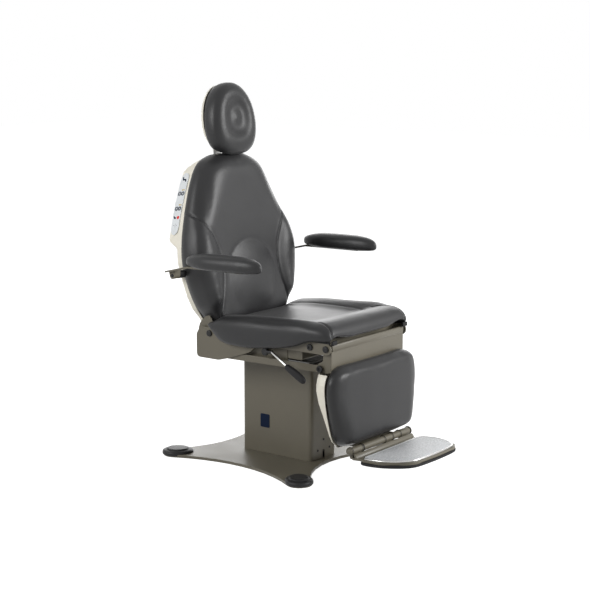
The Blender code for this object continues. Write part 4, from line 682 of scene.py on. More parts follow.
def seat_loop(y):
    """Section across the seat: the top, the rolled side, the hem and the rest on the pan."""
    half = through(SEAT_HALF, y) - 0.002
    hem = through(SEAT_HEM, y) + 0.001
    crest = seat_height(half, y) - 0.001
    rest = max(PAN_TOP - (y - PAN_FRONT) * PAN_FALL + 0.001, hem + 0.002)
    inner = min(SKIRT_IN, half - 0.008)
    skirt = half - inner
    tall = crest - hem
    level = half - 0.040
    tight = ease(-y, 0.24, 0.31)
    points = [(t * level, seat_height(t * level, y) - 0.001) for t in np.linspace(0, 1, 22)]
    points += [
        (half - 0.022, crest - min(0.004, 0.08 * tall)),
        (half - 0.007, crest - min(0.015, 0.24 * tall)),
        (half, crest - tall * 0.45),
        (half - 0.001, hem + tall * (0.25 - 0.13 * tight)),
        (half - 0.2 * skirt * (1 - 0.5 * tight), hem + 0.004 - 0.0025 * tight),
        (half - 0.4 * skirt, hem),
        (inner + 0.25 * skirt, hem),
        (inner + 0.0005, hem + 0.0015),
        (inner, rest),
        (0.10, rest),
        (0.0, rest),
    ]
    return [(x, y, z) for x, z in ring_of(points, 90)]


class CHAIR_OT_seat_cushion(bpy.types.Operator):
    """Sews the seat cushion with its dished middle, rolled sides and corner seams"""

    bl_idname = "chair.seat_cushion"
    bl_label = "Seat Cushion"

    def execute(self, context):
        stations = [SEAT_FRONT + SEAT_NOSE * (1 - math.cos(t)) for t in np.linspace(0, RIGHT_ANGLE, 8)]
        stations += list(np.linspace(SEAT_FRONT + SEAT_NOSE, SEAT_REAR, 40))[1:]
        form = in_scene("seat_cushion_form", loft("seat_cushion_form", [seat_loop(y) for y in stations]))
        bm = bmesh.new()
        bmesh.ops.create_cube(bm, size=1, matrix=BACK_ROOM)
        room = in_scene("back_room", baked(bm, "back_room"))
        cut = form.modifiers.new("room", "BOOLEAN")
        cut.operation = "DIFFERENCE"
        cut.object = room
        cut.solver = "EXACT"
        mesh = applied(form).data
        for spent in (form, room):
            bpy.data.objects.remove(spent)
        mesh = sew("seat_sewn", mesh, sizes().swell, (0, 0, 1))
        for side, word in SIDES:
            corner = on_cover(mesh, [(side * x, y, z) for x, y, z in SEAT_CORNER])
            seam(f"seat_{{}}_{word}", mesh, corner, "seat", side, 0.8, 0.0003)
        border = on_cover(mesh, [(x, y, seat_height(x, y)) for x, y in mirrored(SEAT_BORDER)])
        draw_in(mesh, border, sizes().seam_depth * 0.5, sizes().seam_width * 1.6)
        upholstery("seat_cover", mesh, "seat", "seat_cushion")
        return {"FINISHED"}


# Back: half width and seam by height along the back

BACK_FOOT, BACK_BEND, BACK_TOP, BACK_REAR = 0.014, 0.56, 0.610, 0.050
BACK_HALF = ((BACK_FOOT, 0.183), (0.062, 0.205), (0.085, 0.225), (0.120, 0.243), (0.194, 0.265), (0.250, 0.273),
             (0.315, 0.265), (0.381, 0.245), (0.464, 0.213), (0.530, 0.181), (0.570, 0.153), (0.596, 0.117),
             (BACK_TOP, 0.072))
BACK_SEAM = ((BACK_FOOT, 0.186), (0.055, 0.190), (0.097, 0.172), (0.140, 0.159), (0.185, 0.151), (0.230, 0.150),
             (0.280, 0.159), (0.320, 0.177), (0.345, 0.192), (0.370, 0.196), (0.395, 0.184), (0.420, 0.160),
             (0.450, 0.134), (0.480, 0.112), (0.530, 0.082), (0.570, 0.057), (0.596, 0.034), (BACK_TOP, 0.013))
SEAM_LEVELS = (0.022, 0.055, 0.097, 0.140, 0.185, 0.230, 0.280, 0.320, 0.345)
SEAM_END = ((0.209, -0.030, 0.368), (0.221, -0.014, 0.388), (0.224, 0.006, 0.401), (0.221, 0.028, 0.409),
            (0.219, 0.046, 0.412))
LUMBAR_HALF, LUMBAR_MIDDLE = 0.126, 0.165
LUMBAR_ARCH = ((0.120, 0.120), (0.126, 0.170), (0.119, 0.218), (0.096, 0.257), (0.057, 0.286), (0.0, 0.300))


def back_front(x, u):
    """Front of the back's middle panel, with the swell at the small of the back."""
    reach = 0.135 if u > LUMBAR_MIDDLE else 0.125
    lumbar = max(0.0, 1 - (x / LUMBAR_HALF) ** 2 - ((u - LUMBAR_MIDDLE) / reach) ** 2) ** 0.9
    fall = 0.026 * ease(u, 0.530, BACK_TOP) ** 2 + 0.008 * (1 - ease(u, BACK_FOOT, 0.05))
    return -0.033 - 0.015 * lumbar + fall


def back_loop(u):
    """Section across the back: bolsters below, a wide soft roll above."""
    half = through(BACK_HALF, u) - 0.0015
    seam_at = min(through(BACK_SEAM, u), half - 0.012)
    wing = ease(u, 0.060, 0.110) * (1 - ease(u, 0.270, 0.420))
    rise = 0.018 * wing
    edge = back_front(seam_at, u) + 0.001
    room = half - seam_at
    soft = min(1.0, (BACK_REAR - edge) / 0.06)
    bolster = [
        (seam_at + 0.02 * room, edge + 0.001 * wing),
        (seam_at + 0.20 * room, edge - 0.45 * rise),
        (seam_at + 0.44 * room, edge - 0.92 * rise),
        (seam_at + 0.68 * room, edge - rise + 0.004 * soft),
        (half - 0.06 * room, edge - rise + 0.020 * soft),
        (half, edge - rise + 0.042 * soft),
    ]
    roll = [(seam_at + room * math.sin(turn), edge + 0.056 * soft * (1 - math.cos(turn)))
            for turn in np.radians((6, 22, 40, 58, 75, 90))]
    share = ease(u, 0.340, 0.430)
    points = [(t * seam_at, back_front(t * seam_at, u) + 0.001) for t in np.linspace(0, 0.92, 14)]
    points += [(a + (c - a) * share, b + (d - b) * share) for (a, b), (c, d) in zip(bolster, roll)]
    points += [
        (half - 0.001, BACK_REAR - 0.010 * soft),
        (half - 0.006, BACK_REAR - 0.0005),
        (0.5 * half, BACK_REAR - 0.0005),
        (0.0, BACK_REAR - 0.0005),
    ]
    return [on_back(x, y, u) for x, y in ring_of(points, 80)]


def upper_roll(place):
    """How far the back's cover is rounded off: its front above the bolsters, towards both sides."""
    way = Vector(place) - BACK_PIVOT
    u, y = way.dot(BACK_UP), way.dot(BACK_AFT)
    height = ease(u, 0.28, 0.38) * (1 - ease(u, 0.52, 0.59))
    return height * ease(abs(way.x), 0.03, 0.08) * (1 - ease(y, -0.008, 0.014))


class CHAIR_OT_back_cushion(bpy.types.Operator):
    """Sews the back cushion with its side bolsters and the swell at the small of the back"""

    bl_idname = "chair.back_cushion"
    bl_label = "Back Cushion"

    def execute(self, context):
        stations = list(np.linspace(BACK_FOOT + 0.0005, BACK_BEND, 56))
        crown = BACK_TOP - 0.0005 - BACK_BEND
        stations += [BACK_BEND + crown * math.sin(t) for t in np.linspace(0, RIGHT_ANGLE, 12)][1:]
        form = loft("back_cushion_form", [back_loop(u) for u in stations])
        mesh = sew("back_sewn", form, sizes().swell, -BACK_AFT, soft=upper_roll)
        for side, word in SIDES:
            path = [on_back(side * through(BACK_SEAM, u), -0.045, u) for u in SEAM_LEVELS]
            path += [on_back(side * x, y, u) for x, y, u in SEAM_END]
            seam(f"back_{{}}_{word}", mesh, on_cover(mesh, path), "back", side, 0.7, 0.0002)
        arch = on_cover(mesh, [on_back(x, back_front(x, u), u) for x, u in mirrored(LUMBAR_ARCH)])
        draw_in(mesh, arch, sizes().seam_depth * 0.4, sizes().seam_width * 2.6, fade=0.3)
        upholstery("back_cover", mesh, "back", "back_cushion")
        return {"FINISHED"}


# Headrest: share of its outline and depth, from the middle of the rear round to the middle of the front

HEAD_MIDDLE, HEAD_W, HEAD_H = 0.732, 0.230, 0.246
HEAD_SECTION = (
    (0.0, 0.0160), (0.80, 0.0160), (0.930, 0.0155), (0.957, 0.010), (0.990, -0.001), (1.0, -0.011), (0.985, -0.027),
    (0.93, -0.0405), (0.85, -0.0495), (0.76, -0.0542), (0.66, -0.0555), (0.56, -0.0532), (0.47, -0.0476),
    (0.39, -0.0422), (0.31, -0.0394), (0.24, -0.0398), (0.17, -0.0421), (0.10, -0.0450), (0.04, -0.0465),
    (0.0, -0.0467))


def head_loop(scale, y):
    """Egg-shaped outline of the headrest, with a lip that hangs down at its front."""
    loop = []
    for a in circle(72):
        c, s = math.cos(a), math.sin(a)
        square = 0.90 if s > 0 else 0.90 - (0.12 + 0.22 * ease(y, -0.030, -0.004)) * abs(s)
        lip = 0.014 * ease(-y, 0.004, 0.026) if s < 0 else 0.0
        u = (HEAD_H / 2 - 0.001 + lip) * powered(s, square + 0.02) * scale
        x = (HEAD_W / 2 - 0.001) * powered(c, square) * scale * (1 - 0.30 * (u / HEAD_H))
        loop.append(on_back(x, y, HEAD_MIDDLE + u))
    return loop


def head_front(place):
    """How far the headrest's cover is rounded off: the rim and the hollow of its front."""
    return 0.5 * (1 - ease((Vector(place) - BACK_PIVOT).dot(BACK_AFT), -0.046, -0.030))


class CHAIR_OT_headrest_cushion(bpy.types.Operator):
    """Sews the headrest with its oval hollow and the small swell in its middle"""

    bl_idname = "chair.headrest_cushion"
    bl_label = "Headrest Cushion"

    def execute(self, context):
        form = loft("head_form", [head_loop(share, y) for share, y in fair(HEAD_SECTION, 70)[1:-1]])
        mesh = sew("head_sewn", form, sizes().swell * 0.6, -BACK_AFT, 0.0045, head_front)
        upholstery("headrest_cover", mesh, "headrest", "headrest_cushion")
        return {"FINISHED"}


# Leg rest: half width by height above its foot

LEG_FOOT, LEG_TOP = 0.1165, 0.395
LEG_REAR, LEG_THICK, LEG_SWELL = -0.3365, 0.046, 0.019
LEG_HALF = ((0.0, 0.160), (0.010, 0.186), (0.030, 0.203), (0.075, 0.221), (0.140, 0.239), (0.195, 0.247),
            (0.230, 0.243), (0.2575, 0.225), (0.2725, 0.200), (0.2785, 0.172))


def leg_loop(z):
    """Section across the leg cushion, thicker towards its foot."""
    half = through(LEG_HALF, z - LEG_FOOT) - 0.0015
    up = (z - LEG_FOOT) / (LEG_TOP - LEG_FOOT)
    round_off = 0.58 * (1 - ease(up, 0.0, 0.11)) + 0.42 * ease(up, 0.90, 1.0)
    thick = (LEG_THICK + LEG_SWELL * (1 - ease(up, 0.1, 0.9))) * (1 - round_off) - 0.001
    front = LEG_REAR - thick
    crown = 0.006 * (1 - (2 * up - 1) ** 2)
    points = [
        (0.0, front), (0.25 * half, front), (0.45 * half, front + crown * 0.2), (0.65 * half, front + crown * 0.5),
        (0.80 * half, front + crown * 0.9), (0.90 * half, front + 0.10 * thick + crown),
        (0.97 * half, front + 0.30 * thick), (half, front + 0.58 * thick), (half - 0.001, LEG_REAR - 0.08 * thick),
        (half - 0.005, LEG_REAR), (0.5 * half, LEG_REAR), (0.0, LEG_REAR),
    ]
    return [(x, y, z) for x, y in ring_of(points, 60)]


class CHAIR_OT_leg_cushion(bpy.types.Operator):
    """Sews the leg rest's cushion"""

    bl_idname = "chair.leg_cushion"
    bl_label = "Leg Cushion"

    def execute(self, context):
        middle = (LEG_FOOT + LEG_TOP) / 2
        reach = (LEG_TOP - LEG_FOOT) / 2 - 0.0005
        heights = [middle + reach * (t + 0.16 * math.sin(math.pi * t)) for t in np.linspace(-1, 1, 48)]
        mesh = sew("leg_sewn", loft("leg_form", [leg_loop(z) for z in heights]), sizes().swell, (0, -1, 0))
        # The leg cover takes the darker copy of the vinyl: painted shade.
        upholstery("leg_cover", mesh, "leg", "leg_cushion", "leg_vinyl")
        return {"FINISHED"}


# Arm rests

ARM_X, PAD_REAR, PAD_TIP, PAD_LOW = 0.328, 0.183, -0.140, 0.6872
PAD_HALF, PAD_TALL, PAD_SLOPE = 0.039, 0.056, math.tan(math.radians(0.8))


def pad_loop(t, side):
    """One section across an arm pad, t from the rear end to the tip."""
    y = PAD_REAR + (PAD_TIP - PAD_REAR) * t
    full = (math.sin(math.pi * min(t / 0.36, 1) / 2)) ** 0.55 if t < 0.36 else 1.0
    front = (1 - ((t - 0.62) / 0.38) ** 2.6) ** 0.5 if t > 0.62 else 1.0
    size = max(full * front, 0.14)
    wide = PAD_HALF * size * (1 - 0.16 * ease(t, 0.3, 0.95))
    tall = PAD_TALL * (0.35 + 0.65 * size) - 0.001
    low = PAD_LOW + (PAD_REAR - y) * PAD_SLOPE + 0.012 * (1 - full) + 0.008 * (1 - front)
    loop = []
    for a in circle(40):
        s = math.sin(a)
        z = tall * (0.42 + 0.58 * s) if s > 0 else tall * 0.42 * (1 - abs(s) ** 0.45)
        loop.append((side * ARM_X + wide * powered(math.cos(a), 0.7), y, low + z))
    return loop


class CHAIR_OT_arm_pads(bpy.types.Operator):
    """Sews the two arm pads"""

    bl_idname = "chair.arm_pads"
    bl_label = "Arm Pads"

    def execute(self, context):
        steps = [0.5 - 0.5 * math.cos(t) for t in np.linspace(0, math.pi, 46)]
        for side, word in SIDES:
            form = loft(f"pad_form_{word}", [pad_loop(t, side) for t in steps])
            mesh = sew(f"pad_sewn_{word}", form, sizes().swell * 0.5, (0, 0, 1), 0.004)
            upholstery(f"arm_pad_cover_{word}", mesh, f"arm_{word}", f"arm_pad_{word}")
        return {"FINISHED"}


# Rigid pieces


def turned(profile, at, axis, steps=32):
    """A turned solid from (radius, height) pairs, standing on a point along an axis."""
    bm = bmesh.new()
    points = [bm.verts.new((r, 0, h)) for r, h in profile]
    edges = [bm.edges.new(pair) for pair in zip(points, points[1:])]
    bmesh.ops.spin(bm, geom=points + edges, axis=(0, 0, 1), cent=(0, 0, 0), angle=FULL_TURN, steps=steps,
                   use_merge=True)
    bmesh.ops.remove_doubles(bm, verts=bm.verts, dist=1e-6)
    bmesh.ops.recalc_face_normals(bm, faces=bm.faces)
    turn = Vector(axis).to_track_quat("Z", "Y").to_matrix().to_4x4()
    turn.translation = at
    bmesh.ops.transform(bm, matrix=turn, verts=bm.verts)
    return smooth(baked(bm, "turned"), 35)


def socket_head(radius, at, axis, tall=0.55):
    """A round head with a rolled edge and a socket."""
    h = radius * tall
    profile = ((0, h * 0.45), (radius * 0.42, h * 0.45), (radius * 0.46, h * 0.95), (radius * 0.55, h),
               (radius * 0.8, h), (radius * 0.94, h * 0.9), (radius, h * 0.7), (radius, 0), (0, 0))
    return turned(profile, at, axis, 28)


def bar_between(start, end, radius):
    """A round bar with rounded ends."""
    long = (end - start).length
    nose = radius * 0.35
    rise = ((0, 0), (radius - nose, 0), (radius - nose * 0.3, nose * 0.3), (radius, nose))
    return turned(rise + tuple((r, long - h) for r, h in rise[::-1]), start, end - start, 24)


def joined(name, meshes):
    bm = bmesh.new()
    for mesh in meshes:
        bm.from_mesh(mesh)
    return baked(bm, name)


def hull(points):
    """Convex outline of flat points, anticlockwise."""
    points = sorted(set((round(a, 6), round(b, 6)) for a, b in points))

    def half(rows):
        out = []
        for p in rows:
            while len(out) > 1 and turn_of(out[-2], out[-1], p) <= 0:
                out.pop()
            out.append(p)
        return out[:-1]

    return np.array(half(points) + half(points[::-1]))


def turn_of(a, b, c):
    return (b[0] - a[0]) * (c[1] - a[1]) - (b[1] - a[1]) * (c[0] - a[0])


def closed(outline, count):
    """Evenly spaced points on a smooth closed outline."""
    return fair(np.vstack([outline, outline[:1]]), count + 1)[:-1]


def inward(outline, distance):
    """An anticlockwise outline moved inwards by a distance."""
    ahead = np.roll(outline, -1, axis=0) - np.roll(outline, 1, axis=0)
    ahead /= np.linalg.norm(ahead, axis=1, keepdims=True)
    return outline + np.stack([-ahead[:, 1], ahead[:, 0]], axis=1) * distance


def rounded(half_a, half_b, radius):
    """A rectangle with rounded corners."""
    points = []
    for k, (a, b) in enumerate(((1, 1), (-1, 1), (-1, -1), (1, -1))):
        for t in np.linspace(k * RIGHT_ANGLE, (k + 1) * RIGHT_ANGLE, 6):
            points.append((a * (half_a - radius) + radius * math.cos(t), b * (half_b - radius) + radius * math.sin(t)))
    return points


class CHAIR_OT_frame_finish(bpy.types.Operator):
    """Gives every rigid piece of the frame its finish"""

    bl_idname = "chair.frame_finish"
    bl_label = "Frame Finish"

    def execute(self, context):
        for part in frame["record"]["subparts"]:
            name, slot = part["node"], part["material_slot"]
            materials = NODES[name].data.materials
            materials.clear()
            materials.append(finish(NODE_LOOKS.get(name) or SLOT_LOOKS.get(slot, slot)))
        return {"FINISHED"}


# Rows of (scale, share of the height) up a foot cap
CAP_ROWS = ((0.985, 0.0), (1.0, 0.10), (1.0, 0.40), (0.975, 0.58), (0.91, 0.70), (0.82, 0.75), (0.76, 0.76),
            (0.725, 0.80), (0.70, 0.93), (0.66, 0.99), (0.58, 1.0))


class CHAIR_OT_foot_caps(bpy.types.Operator):
    """Moulds the four caps over the feet, each with a raised pad on a stepped skirt"""

    bl_idname = "chair.foot_caps"
    bl_label = "Foot Caps"

    def execute(self, context):
        for name in (f"foot_cap_{end}_{word}" for end in ("front", "rear") for _, word in SIDES):
            outline = closed(hull([(p.x, p.y) for p in world_points(name)]), 64)
            middle = outline.mean(axis=0)
            low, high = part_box(name)
            loops = [[(*(middle + (p - middle) * scale), low.z + (high.z - low.z) * share) for p in outline]
                     for scale, share in CAP_ROWS]
            piece(f"{name}_moulding", smooth(loft(f"{name}_form", loops)), "black", "base", (name,))
        return {"FINISHED"}


STRIP_HALF = 0.2075
STRIP_SECTION = ((0.0018, -0.0225), (-0.0006, -0.0222), (-0.0012, -0.0205), (-0.0013, -0.012), (-0.0010, -0.005),
                 (-0.0002, -0.0015), (0.0010, -0.0004), (0.0024, -0.0004))
BUMPER_X, BUMPER_Y, BUMPER_HALF_X, BUMPER_HALF_Y = 0.2060, -0.3440, 0.0130, 0.0042
BUMPER_ROWS = ((0.4672, -0.0012), (0.4682, 0.0), (0.4790, 0.0), (0.4810, -0.0010))
RAIL_ENDS, RAIL_X, RAIL_Z = (-0.338, -0.262), 0.21965, 0.478
WEB_ENDS, WEB_X, WEB_Z = (-0.148, 0.104), 0.2, 0.384
WEB_SECTION = ((0.0, 0.052), (0.0, 0.004), (0.0008, 0.0012), (0.003, 0.0), (0.010, 0.0), (0.0108, 0.0008),
               (0.0108, 0.0022), (0.010, 0.003), (0.0045, 0.003), (0.0035, 0.0035), (0.003, 0.0045), (0.003, 0.052))
# Places along X and section of the black rings at the hinge's gaps: painted shade of the gaps between its barrels.
HINGE_GAP_SHADES = (-0.1712, -0.114, -0.108, 0.018, 0.065, 0.112, 0.1712)
GAP_SHADE_SECTION = ((0.0131, -0.0011), (0.0146, -0.0011), (0.0150, 0.0), (0.0146, 0.0011), (0.0131, 0.0011),
                  (0.0131, -0.0011))


class CHAIR_OT_leg_trim(bpy.types.Operator):
    """Adds the leg panel's folded strip, black rings at the hinge's gaps as painted shade, and the seat's bumpers,
    packing strips and webs
    """

    bl_idname = "chair.leg_trim"
    bl_label = "Leg Trim"

    def execute(self, context):
        low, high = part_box("leg_panel")
        stops = [(-STRIP_HALF, 0.7), (-STRIP_HALF + 0.0012, 1.0), (STRIP_HALF - 0.0012, 1.0), (STRIP_HALF, 0.7)]
        strip = drawn_out("leg_strip", STRIP_SECTION, stops, lambda x, a, b: (x, low.y + a, high.z + b))
        piece("leg_panel_strip", strip, "paint", "leg")
        for side, word in SIDES:
            loops = [[(side * BUMPER_X + a, BUMPER_Y + b, z)
                      for a, b in rounded(BUMPER_HALF_X + grow, BUMPER_HALF_Y + grow, 0.002)]
                     for z, grow in BUMPER_ROWS]
            bumper = smooth(loft(f"seat_bumper_{word}", loops), 40)
            piece(f"seat_bumper_{word}", bumper, "rubber", "seat")
            packing = rounded(0.00285, 0.008, 0.0024)
            self.along_seat(f"seat_rail_{word}", packing, side * RAIL_X, RAIL_Z, RAIL_ENDS, "rubber", "grip")
            web = [(-side * a, b) for a, b in WEB_SECTION]
            self.along_seat(f"seat_web_{word}", web, side * WEB_X, WEB_Z, WEB_ENDS, "paint", "paint")
        # Black rings round the hinge at the gaps between its barrels: painted shade of the gaps.
        shade_rings = [turned(GAP_SHADE_SECTION, (x, FOOT_HINGE.y, FOOT_HINGE.z), (1, 0, 0)) for x in HINGE_GAP_SHADES]
        piece("hinge_washers", joined("hinge_washers", shade_rings), "black", "leg")
        return {"FINISHED"}

    def along_seat(self, name, section, x, z, ends, look, slot):
        """A strip of one section from the front to the rear of the seat, with its ends drawn in."""
        front, rear = ends
        draws = ((0.0, 0.80), (0.0008, 0.94), (0.0020, 1.0))
        stops = [(front + d, scale) for d, scale in draws] + [(rear - d, scale) for d, scale in draws[::-1]]
        strip = drawn_out(name, section, stops, lambda y, a, b: (x + a, y, z + b))
        piece(name, strip, look, "seat")


LINK_PIN, RAIL_PIN = Vector((0, 0.028, -0.070)), Vector((0, 0.064, 0))
SCREWS = ((-0.034, 0.032), (0.034, 0.032), (0.0, 0.066))


class CHAIR_OT_fasteners(bpy.types.Operator):
    """Adds bolt heads to the linkage and screws at the foot of the column"""

    bl_idname = "chair.fasteners"
    bl_label = "Fasteners"

    def execute(self, context):
        big = sizes().bolt
        for side, word in SIDES:
            for name, under, pin, radius, body in (("link_bolt", "link_bar", LINK_PIN, big, "leg"),
                                                   ("rail_bolt", "side_plate", RAIL_PIN, big * 0.95, "seat")):
                _, y, z = LEG_PIVOT + pin
                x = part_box(f"{under}_{word}")[0 if side < 0 else 1].x
                head = socket_head(radius, (x, y, z), (side, 0, 0))
                piece(f"{name}_{word}", head, "black", body)
        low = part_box("column_cover")[0]
        screws = [socket_head(sizes().screw, (x, low.y, low.z + z), (0, -1, 0), 0.4) for x, z in SCREWS]
        piece("column_screws", joined("column_screws", screws), "black", "base")
        return {"FINISHED"}


# Control marks, drawn aft and up from the middle of a row of buttons


def disc(middle, radius, hole=0.0):
    """Outer and inner loops of a printed ring, or of a dot when it has no hole."""
    a, b = middle
    return [[(a + r * math.cos(t), b + r * math.sin(t)) for t in circle(28)] for r in (radius, hole) if r]


def line(a, b, wide):
    """One straight printed line between two points."""
    a, b = Vector(a), Vector(b)
    across = (b - a).orthogonal().normalized() * wide / 2
    return [[tuple(a + across), tuple(a - across), tuple(b - across), tuple(b + across)]]


KEYS = [f"button_{role}_{way}" for role in ("leg", "back") for way in ("down", "up")]
KEY_ROOM, KEY_ARROW, GUIDE_WIDE = 0.0095, 0.0015, 0.0009
KEY_RING, FILM_RING = (0.0056, 0.0033), (0.0080, 0.0066)
LAMPS = [disc((-0.0098, 0.0135), 0.0027), disc((-0.0030, 0.0135), 0.0027)]
ROW_MARKS = {
    "leg": (
        ("leg_lamps", LAMPS, "lamp"),
        ("stop_mark", [disc((-0.0075, -0.033), 0.0058)], "signal"),
        ("rest_mark", [line((0.0018, -0.035), (0.0100, -0.034), 0.0056),
                       line((0.0088, -0.035), (0.0118, -0.027), 0.0046)], "ink"),
        ("guide_marks", [line((-0.0085, -0.061), (-0.003, -0.061), GUIDE_WIDE),
                         line((0.003, -0.061), (0.0085, -0.061), GUIDE_WIDE),
                         line((0, -0.059), (0, -0.0545), GUIDE_WIDE),
                         line((0, -0.0675), (0, -0.063), GUIDE_WIDE)], "ink"),
    ),
    "back": (
        ("back_lamps", LAMPS, "lamp"),
        ("chair_mark", [line((-0.0065, 0.0530), (0.0055, 0.0530), 0.0058),
                        line((0.0048, 0.0515), (0.0082, 0.0640), 0.0052),
                        line((-0.0058, 0.0535), (-0.0075, 0.0450), 0.0050)], "ink"),
    ),
}
FILM_SLIM, FILM_FALL = 0.14, 0.006
INK_LIFT, INK_THICK = 0.00008, 0.00010


def key_face(name):
    """Middle of a button's front and the three directions of its face: aft, up and out."""
    part = NODES[name]
    turn = part.matrix_world.to_3x3()
    out = Vector()
    for face in part.data.polygons:
        way = turn @ face.normal
        if way.x < -0.7:
            out += way * face.area
    out.normalize()
    points = world_points(name)
    far = max(p.dot(out) for p in points)
    front = [p for p in points if p.dot(out) > far - 0.0001]
    up = (BACK_UP - out * BACK_UP.dot(out)).normalized()
    aft = out.cross(up)
    return sum(front, Vector()) / len(front), (aft if aft.y > 0 else -aft, up, out)


def printed(name, shapes, under, axes, look, body):
    """Ink on a control: each shape is one loop, or a ring of two."""
    face = skin(NODES[under].data, NODES[under].matrix_world)
    middle, (aft, up, out) = axes
    bm = bmesh.new()
    for loops in shapes:
        rows = []
        for loop in loops:
            hits = [face.ray_cast(middle + aft * a + up * b + out * 0.02, -out)[0] for a, b in loop]
            if None in hits:
                raise RuntimeError(f"{name} misses {under}")
            rows.append([bm.verts.new(hit + out * INK_LIFT) for hit in hits])
        if len(rows) == 1:
            bm.faces.new(rows[0])
        else:
            bridge(bm, *rows)
    lifted = bmesh.ops.extrude_face_region(bm, geom=list(bm.faces))["geom"]
    for v in (g for g in lifted if isinstance(g, bmesh.types.BMVert)):
        v.co += out * INK_THICK
    bmesh.ops.recalc_face_normals(bm, faces=bm.faces)
    piece(name, baked(bm, name), look, body)


class CHAIR_OT_control_marks(bpy.types.Operator):
    """Lays the control strip's film and prints plain marks on it and on the buttons"""

    bl_idname = "chair.control_marks"
    bl_label = "Control Marks"

    def execute(self, context):
        self.film()
        for role, marks in ROW_MARKS.items():
            faces = {}
            for way, tip in (("down", -KEY_ARROW), ("up", KEY_ARROW)):
                name = f"button_{role}_{way}"
                faces[way] = key_face(name)
                arrow = [[(-0.0013, -tip * 0.7), (0.0013, -tip * 0.7), (0.0, tip)]]
                mark, ring = disc((0, 0), *KEY_RING), disc((0, 0), *FILM_RING)
                printed(f"{name}_mark", [mark, arrow], name, faces[way], "ink", f"key_{role}_{way}")
                printed(f"{name}_ring", [ring], "control_strip", faces[way], "ink", "back")
            row = ((faces["down"][0] + faces["up"][0]) / 2, faces["up"][1])
            for name, shapes, look in marks:
                printed(name, shapes, "control_strip", row, look, "back")
        return {"FINISHED"}

    def film(self):
        """The film of the strip: the same sheet made slimmer, but for the room round the buttons, and longer below."""
        part = NODES["control_strip"]
        mesh = part.data.copy()
        mesh.transform(part.matrix_world)
        points = read(mesh, "co")
        heights = points @ np.array(BACK_UP)
        moved = points.copy()
        keys = [np.array(key_face(name)[0]) for name in KEYS]
        for i, p in enumerate(points):
            if min(np.linalg.norm(p - key) for key in keys) < KEY_ROOM:
                continue
            row = points[np.abs(heights - heights[i]) < 0.0008]
            across = row[row[:, 1].argmax()] - row[row[:, 1].argmin()]
            across /= np.linalg.norm(across)
            moved[i] = p - across * ((p - row.mean(axis=0)) @ across) * FILM_SLIM
        down = -np.array(key_face("button_leg_up")[1][1])
        depth = points @ down
        foot = depth.max()
        moved += np.array([FILM_FALL * ease(d, foot - 0.030, foot - 0.006) for d in depth])[:, None] * down
        set_coords(mesh, moved)
        made = piece("control_film", smooth(mesh, 40), "membrane", "back", ("control_strip",))
        made.modifiers.new("edges", "BEVEL").width = 0.0004


# Rows of (inset, height) up the plate's rim
PLATE_ROWS = ((0.0, 0.0001), (0.0, 0.0012), (0.0006, 0.0016), (0.0018, 0.0016), (0.0022, 0.0011))
PLATE_Y, PLATE_Z = 0.050, 0.1265


class CHAIR_OT_column_plate(bpy.types.Operator):
    """Fixes a bare plate with a raised rim to the right wall of the column"""

    bl_idname = "chair.column_plate"
    bl_label = "Column Plate"

    def execute(self, context):
        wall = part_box("column_cover")[0].x
        tall = sizes().plate / 2
        wide = tall * 0.82
        loops = [[(wall - out, PLATE_Y + a, PLATE_Z + b)
                  for a, b in rounded(wide - inset, tall - inset, max(0.0045 - inset, 0.001))]
                 for inset, out in PLATE_ROWS]
        piece("column_plate", loft("column_plate", loops), "plate", "base")
        return {"FINISHED"}


# Rows of (share of the length, half thickness, half height) along the grip
GRIP_ROWS = ((-0.03, 0.0056, 0.0056), (0.0, 0.0084, 0.0084), (0.05, 0.0092, 0.0094), (0.12, 0.0092, 0.0102),
             (0.25, 0.0094, 0.0116), (0.45, 0.0096, 0.0130), (0.65, 0.0096, 0.0134), (0.82, 0.0092, 0.0126),
             (0.93, 0.0082, 0.0108), (0.98, 0.0058, 0.0074), (1.0, 0.0026, 0.0034))
GRIP_START, GRIP_END = LEVER_EYE + Vector((-0.018, -0.104, -0.034)), LEVER_EYE + Vector((-0.040, -0.197, -0.066))
ROD_START = LEVER_EYE + Vector((-0.002, -0.026, 0.004))
BOSS_PROFILE = ((0, 0), (0.0125, 0), (0.013, 0.001), (0.013, 0.0085), (0.0115, 0.0105), (0, 0.0105))


class CHAIR_OT_lever(bpy.types.Operator):
    """Fits the lock lever's bright rod, its boss and its paddle-shaped grip"""

    bl_idname = "chair.lever"
    bl_label = "Lock Lever"

    def execute(self, context):
        boss = turned(BOSS_PROFILE, LEVER_EYE + Vector((0.0045, 0, 0)), (-1, 0, 0))
        neck = bar_between(LEVER_EYE + Vector((-0.001, 0, 0)), ROD_START + Vector((0.0005, -0.006, -0.002)), 0.0058)
        piece("lever_boss", joined("lever_boss", [boss, neck]), "black", "lever")
        grip = GRIP_END - GRIP_START
        rod = bar_between(ROD_START, GRIP_START + grip * 0.2, 0.0043)
        piece("lever_bright_rod", rod, "steel", "lever", ("lever_rod",))
        along = grip.normalized()
        side = along.cross(Vector((0, 0, 1))).normalized()
        over = side.cross(along)
        loops = []
        for t, thick, tall in GRIP_ROWS:
            middle = GRIP_START + grip * t - over * 0.004 * t * t
            loops.append([middle + side * thick * powered(math.cos(a), 0.75) + over * tall * powered(math.sin(a), 0.75)
                          for a in circle(28)])
        paddle = smooth(loft("lever_grip_form", loops))
        made = piece("lever_paddle", paddle, "rubber", "lever", ("lever_grip",))
        fine = made.modifiers.new("fine", "SUBSURF")
        fine.levels, fine.render_levels = 1, 2
        return {"FINISHED"}


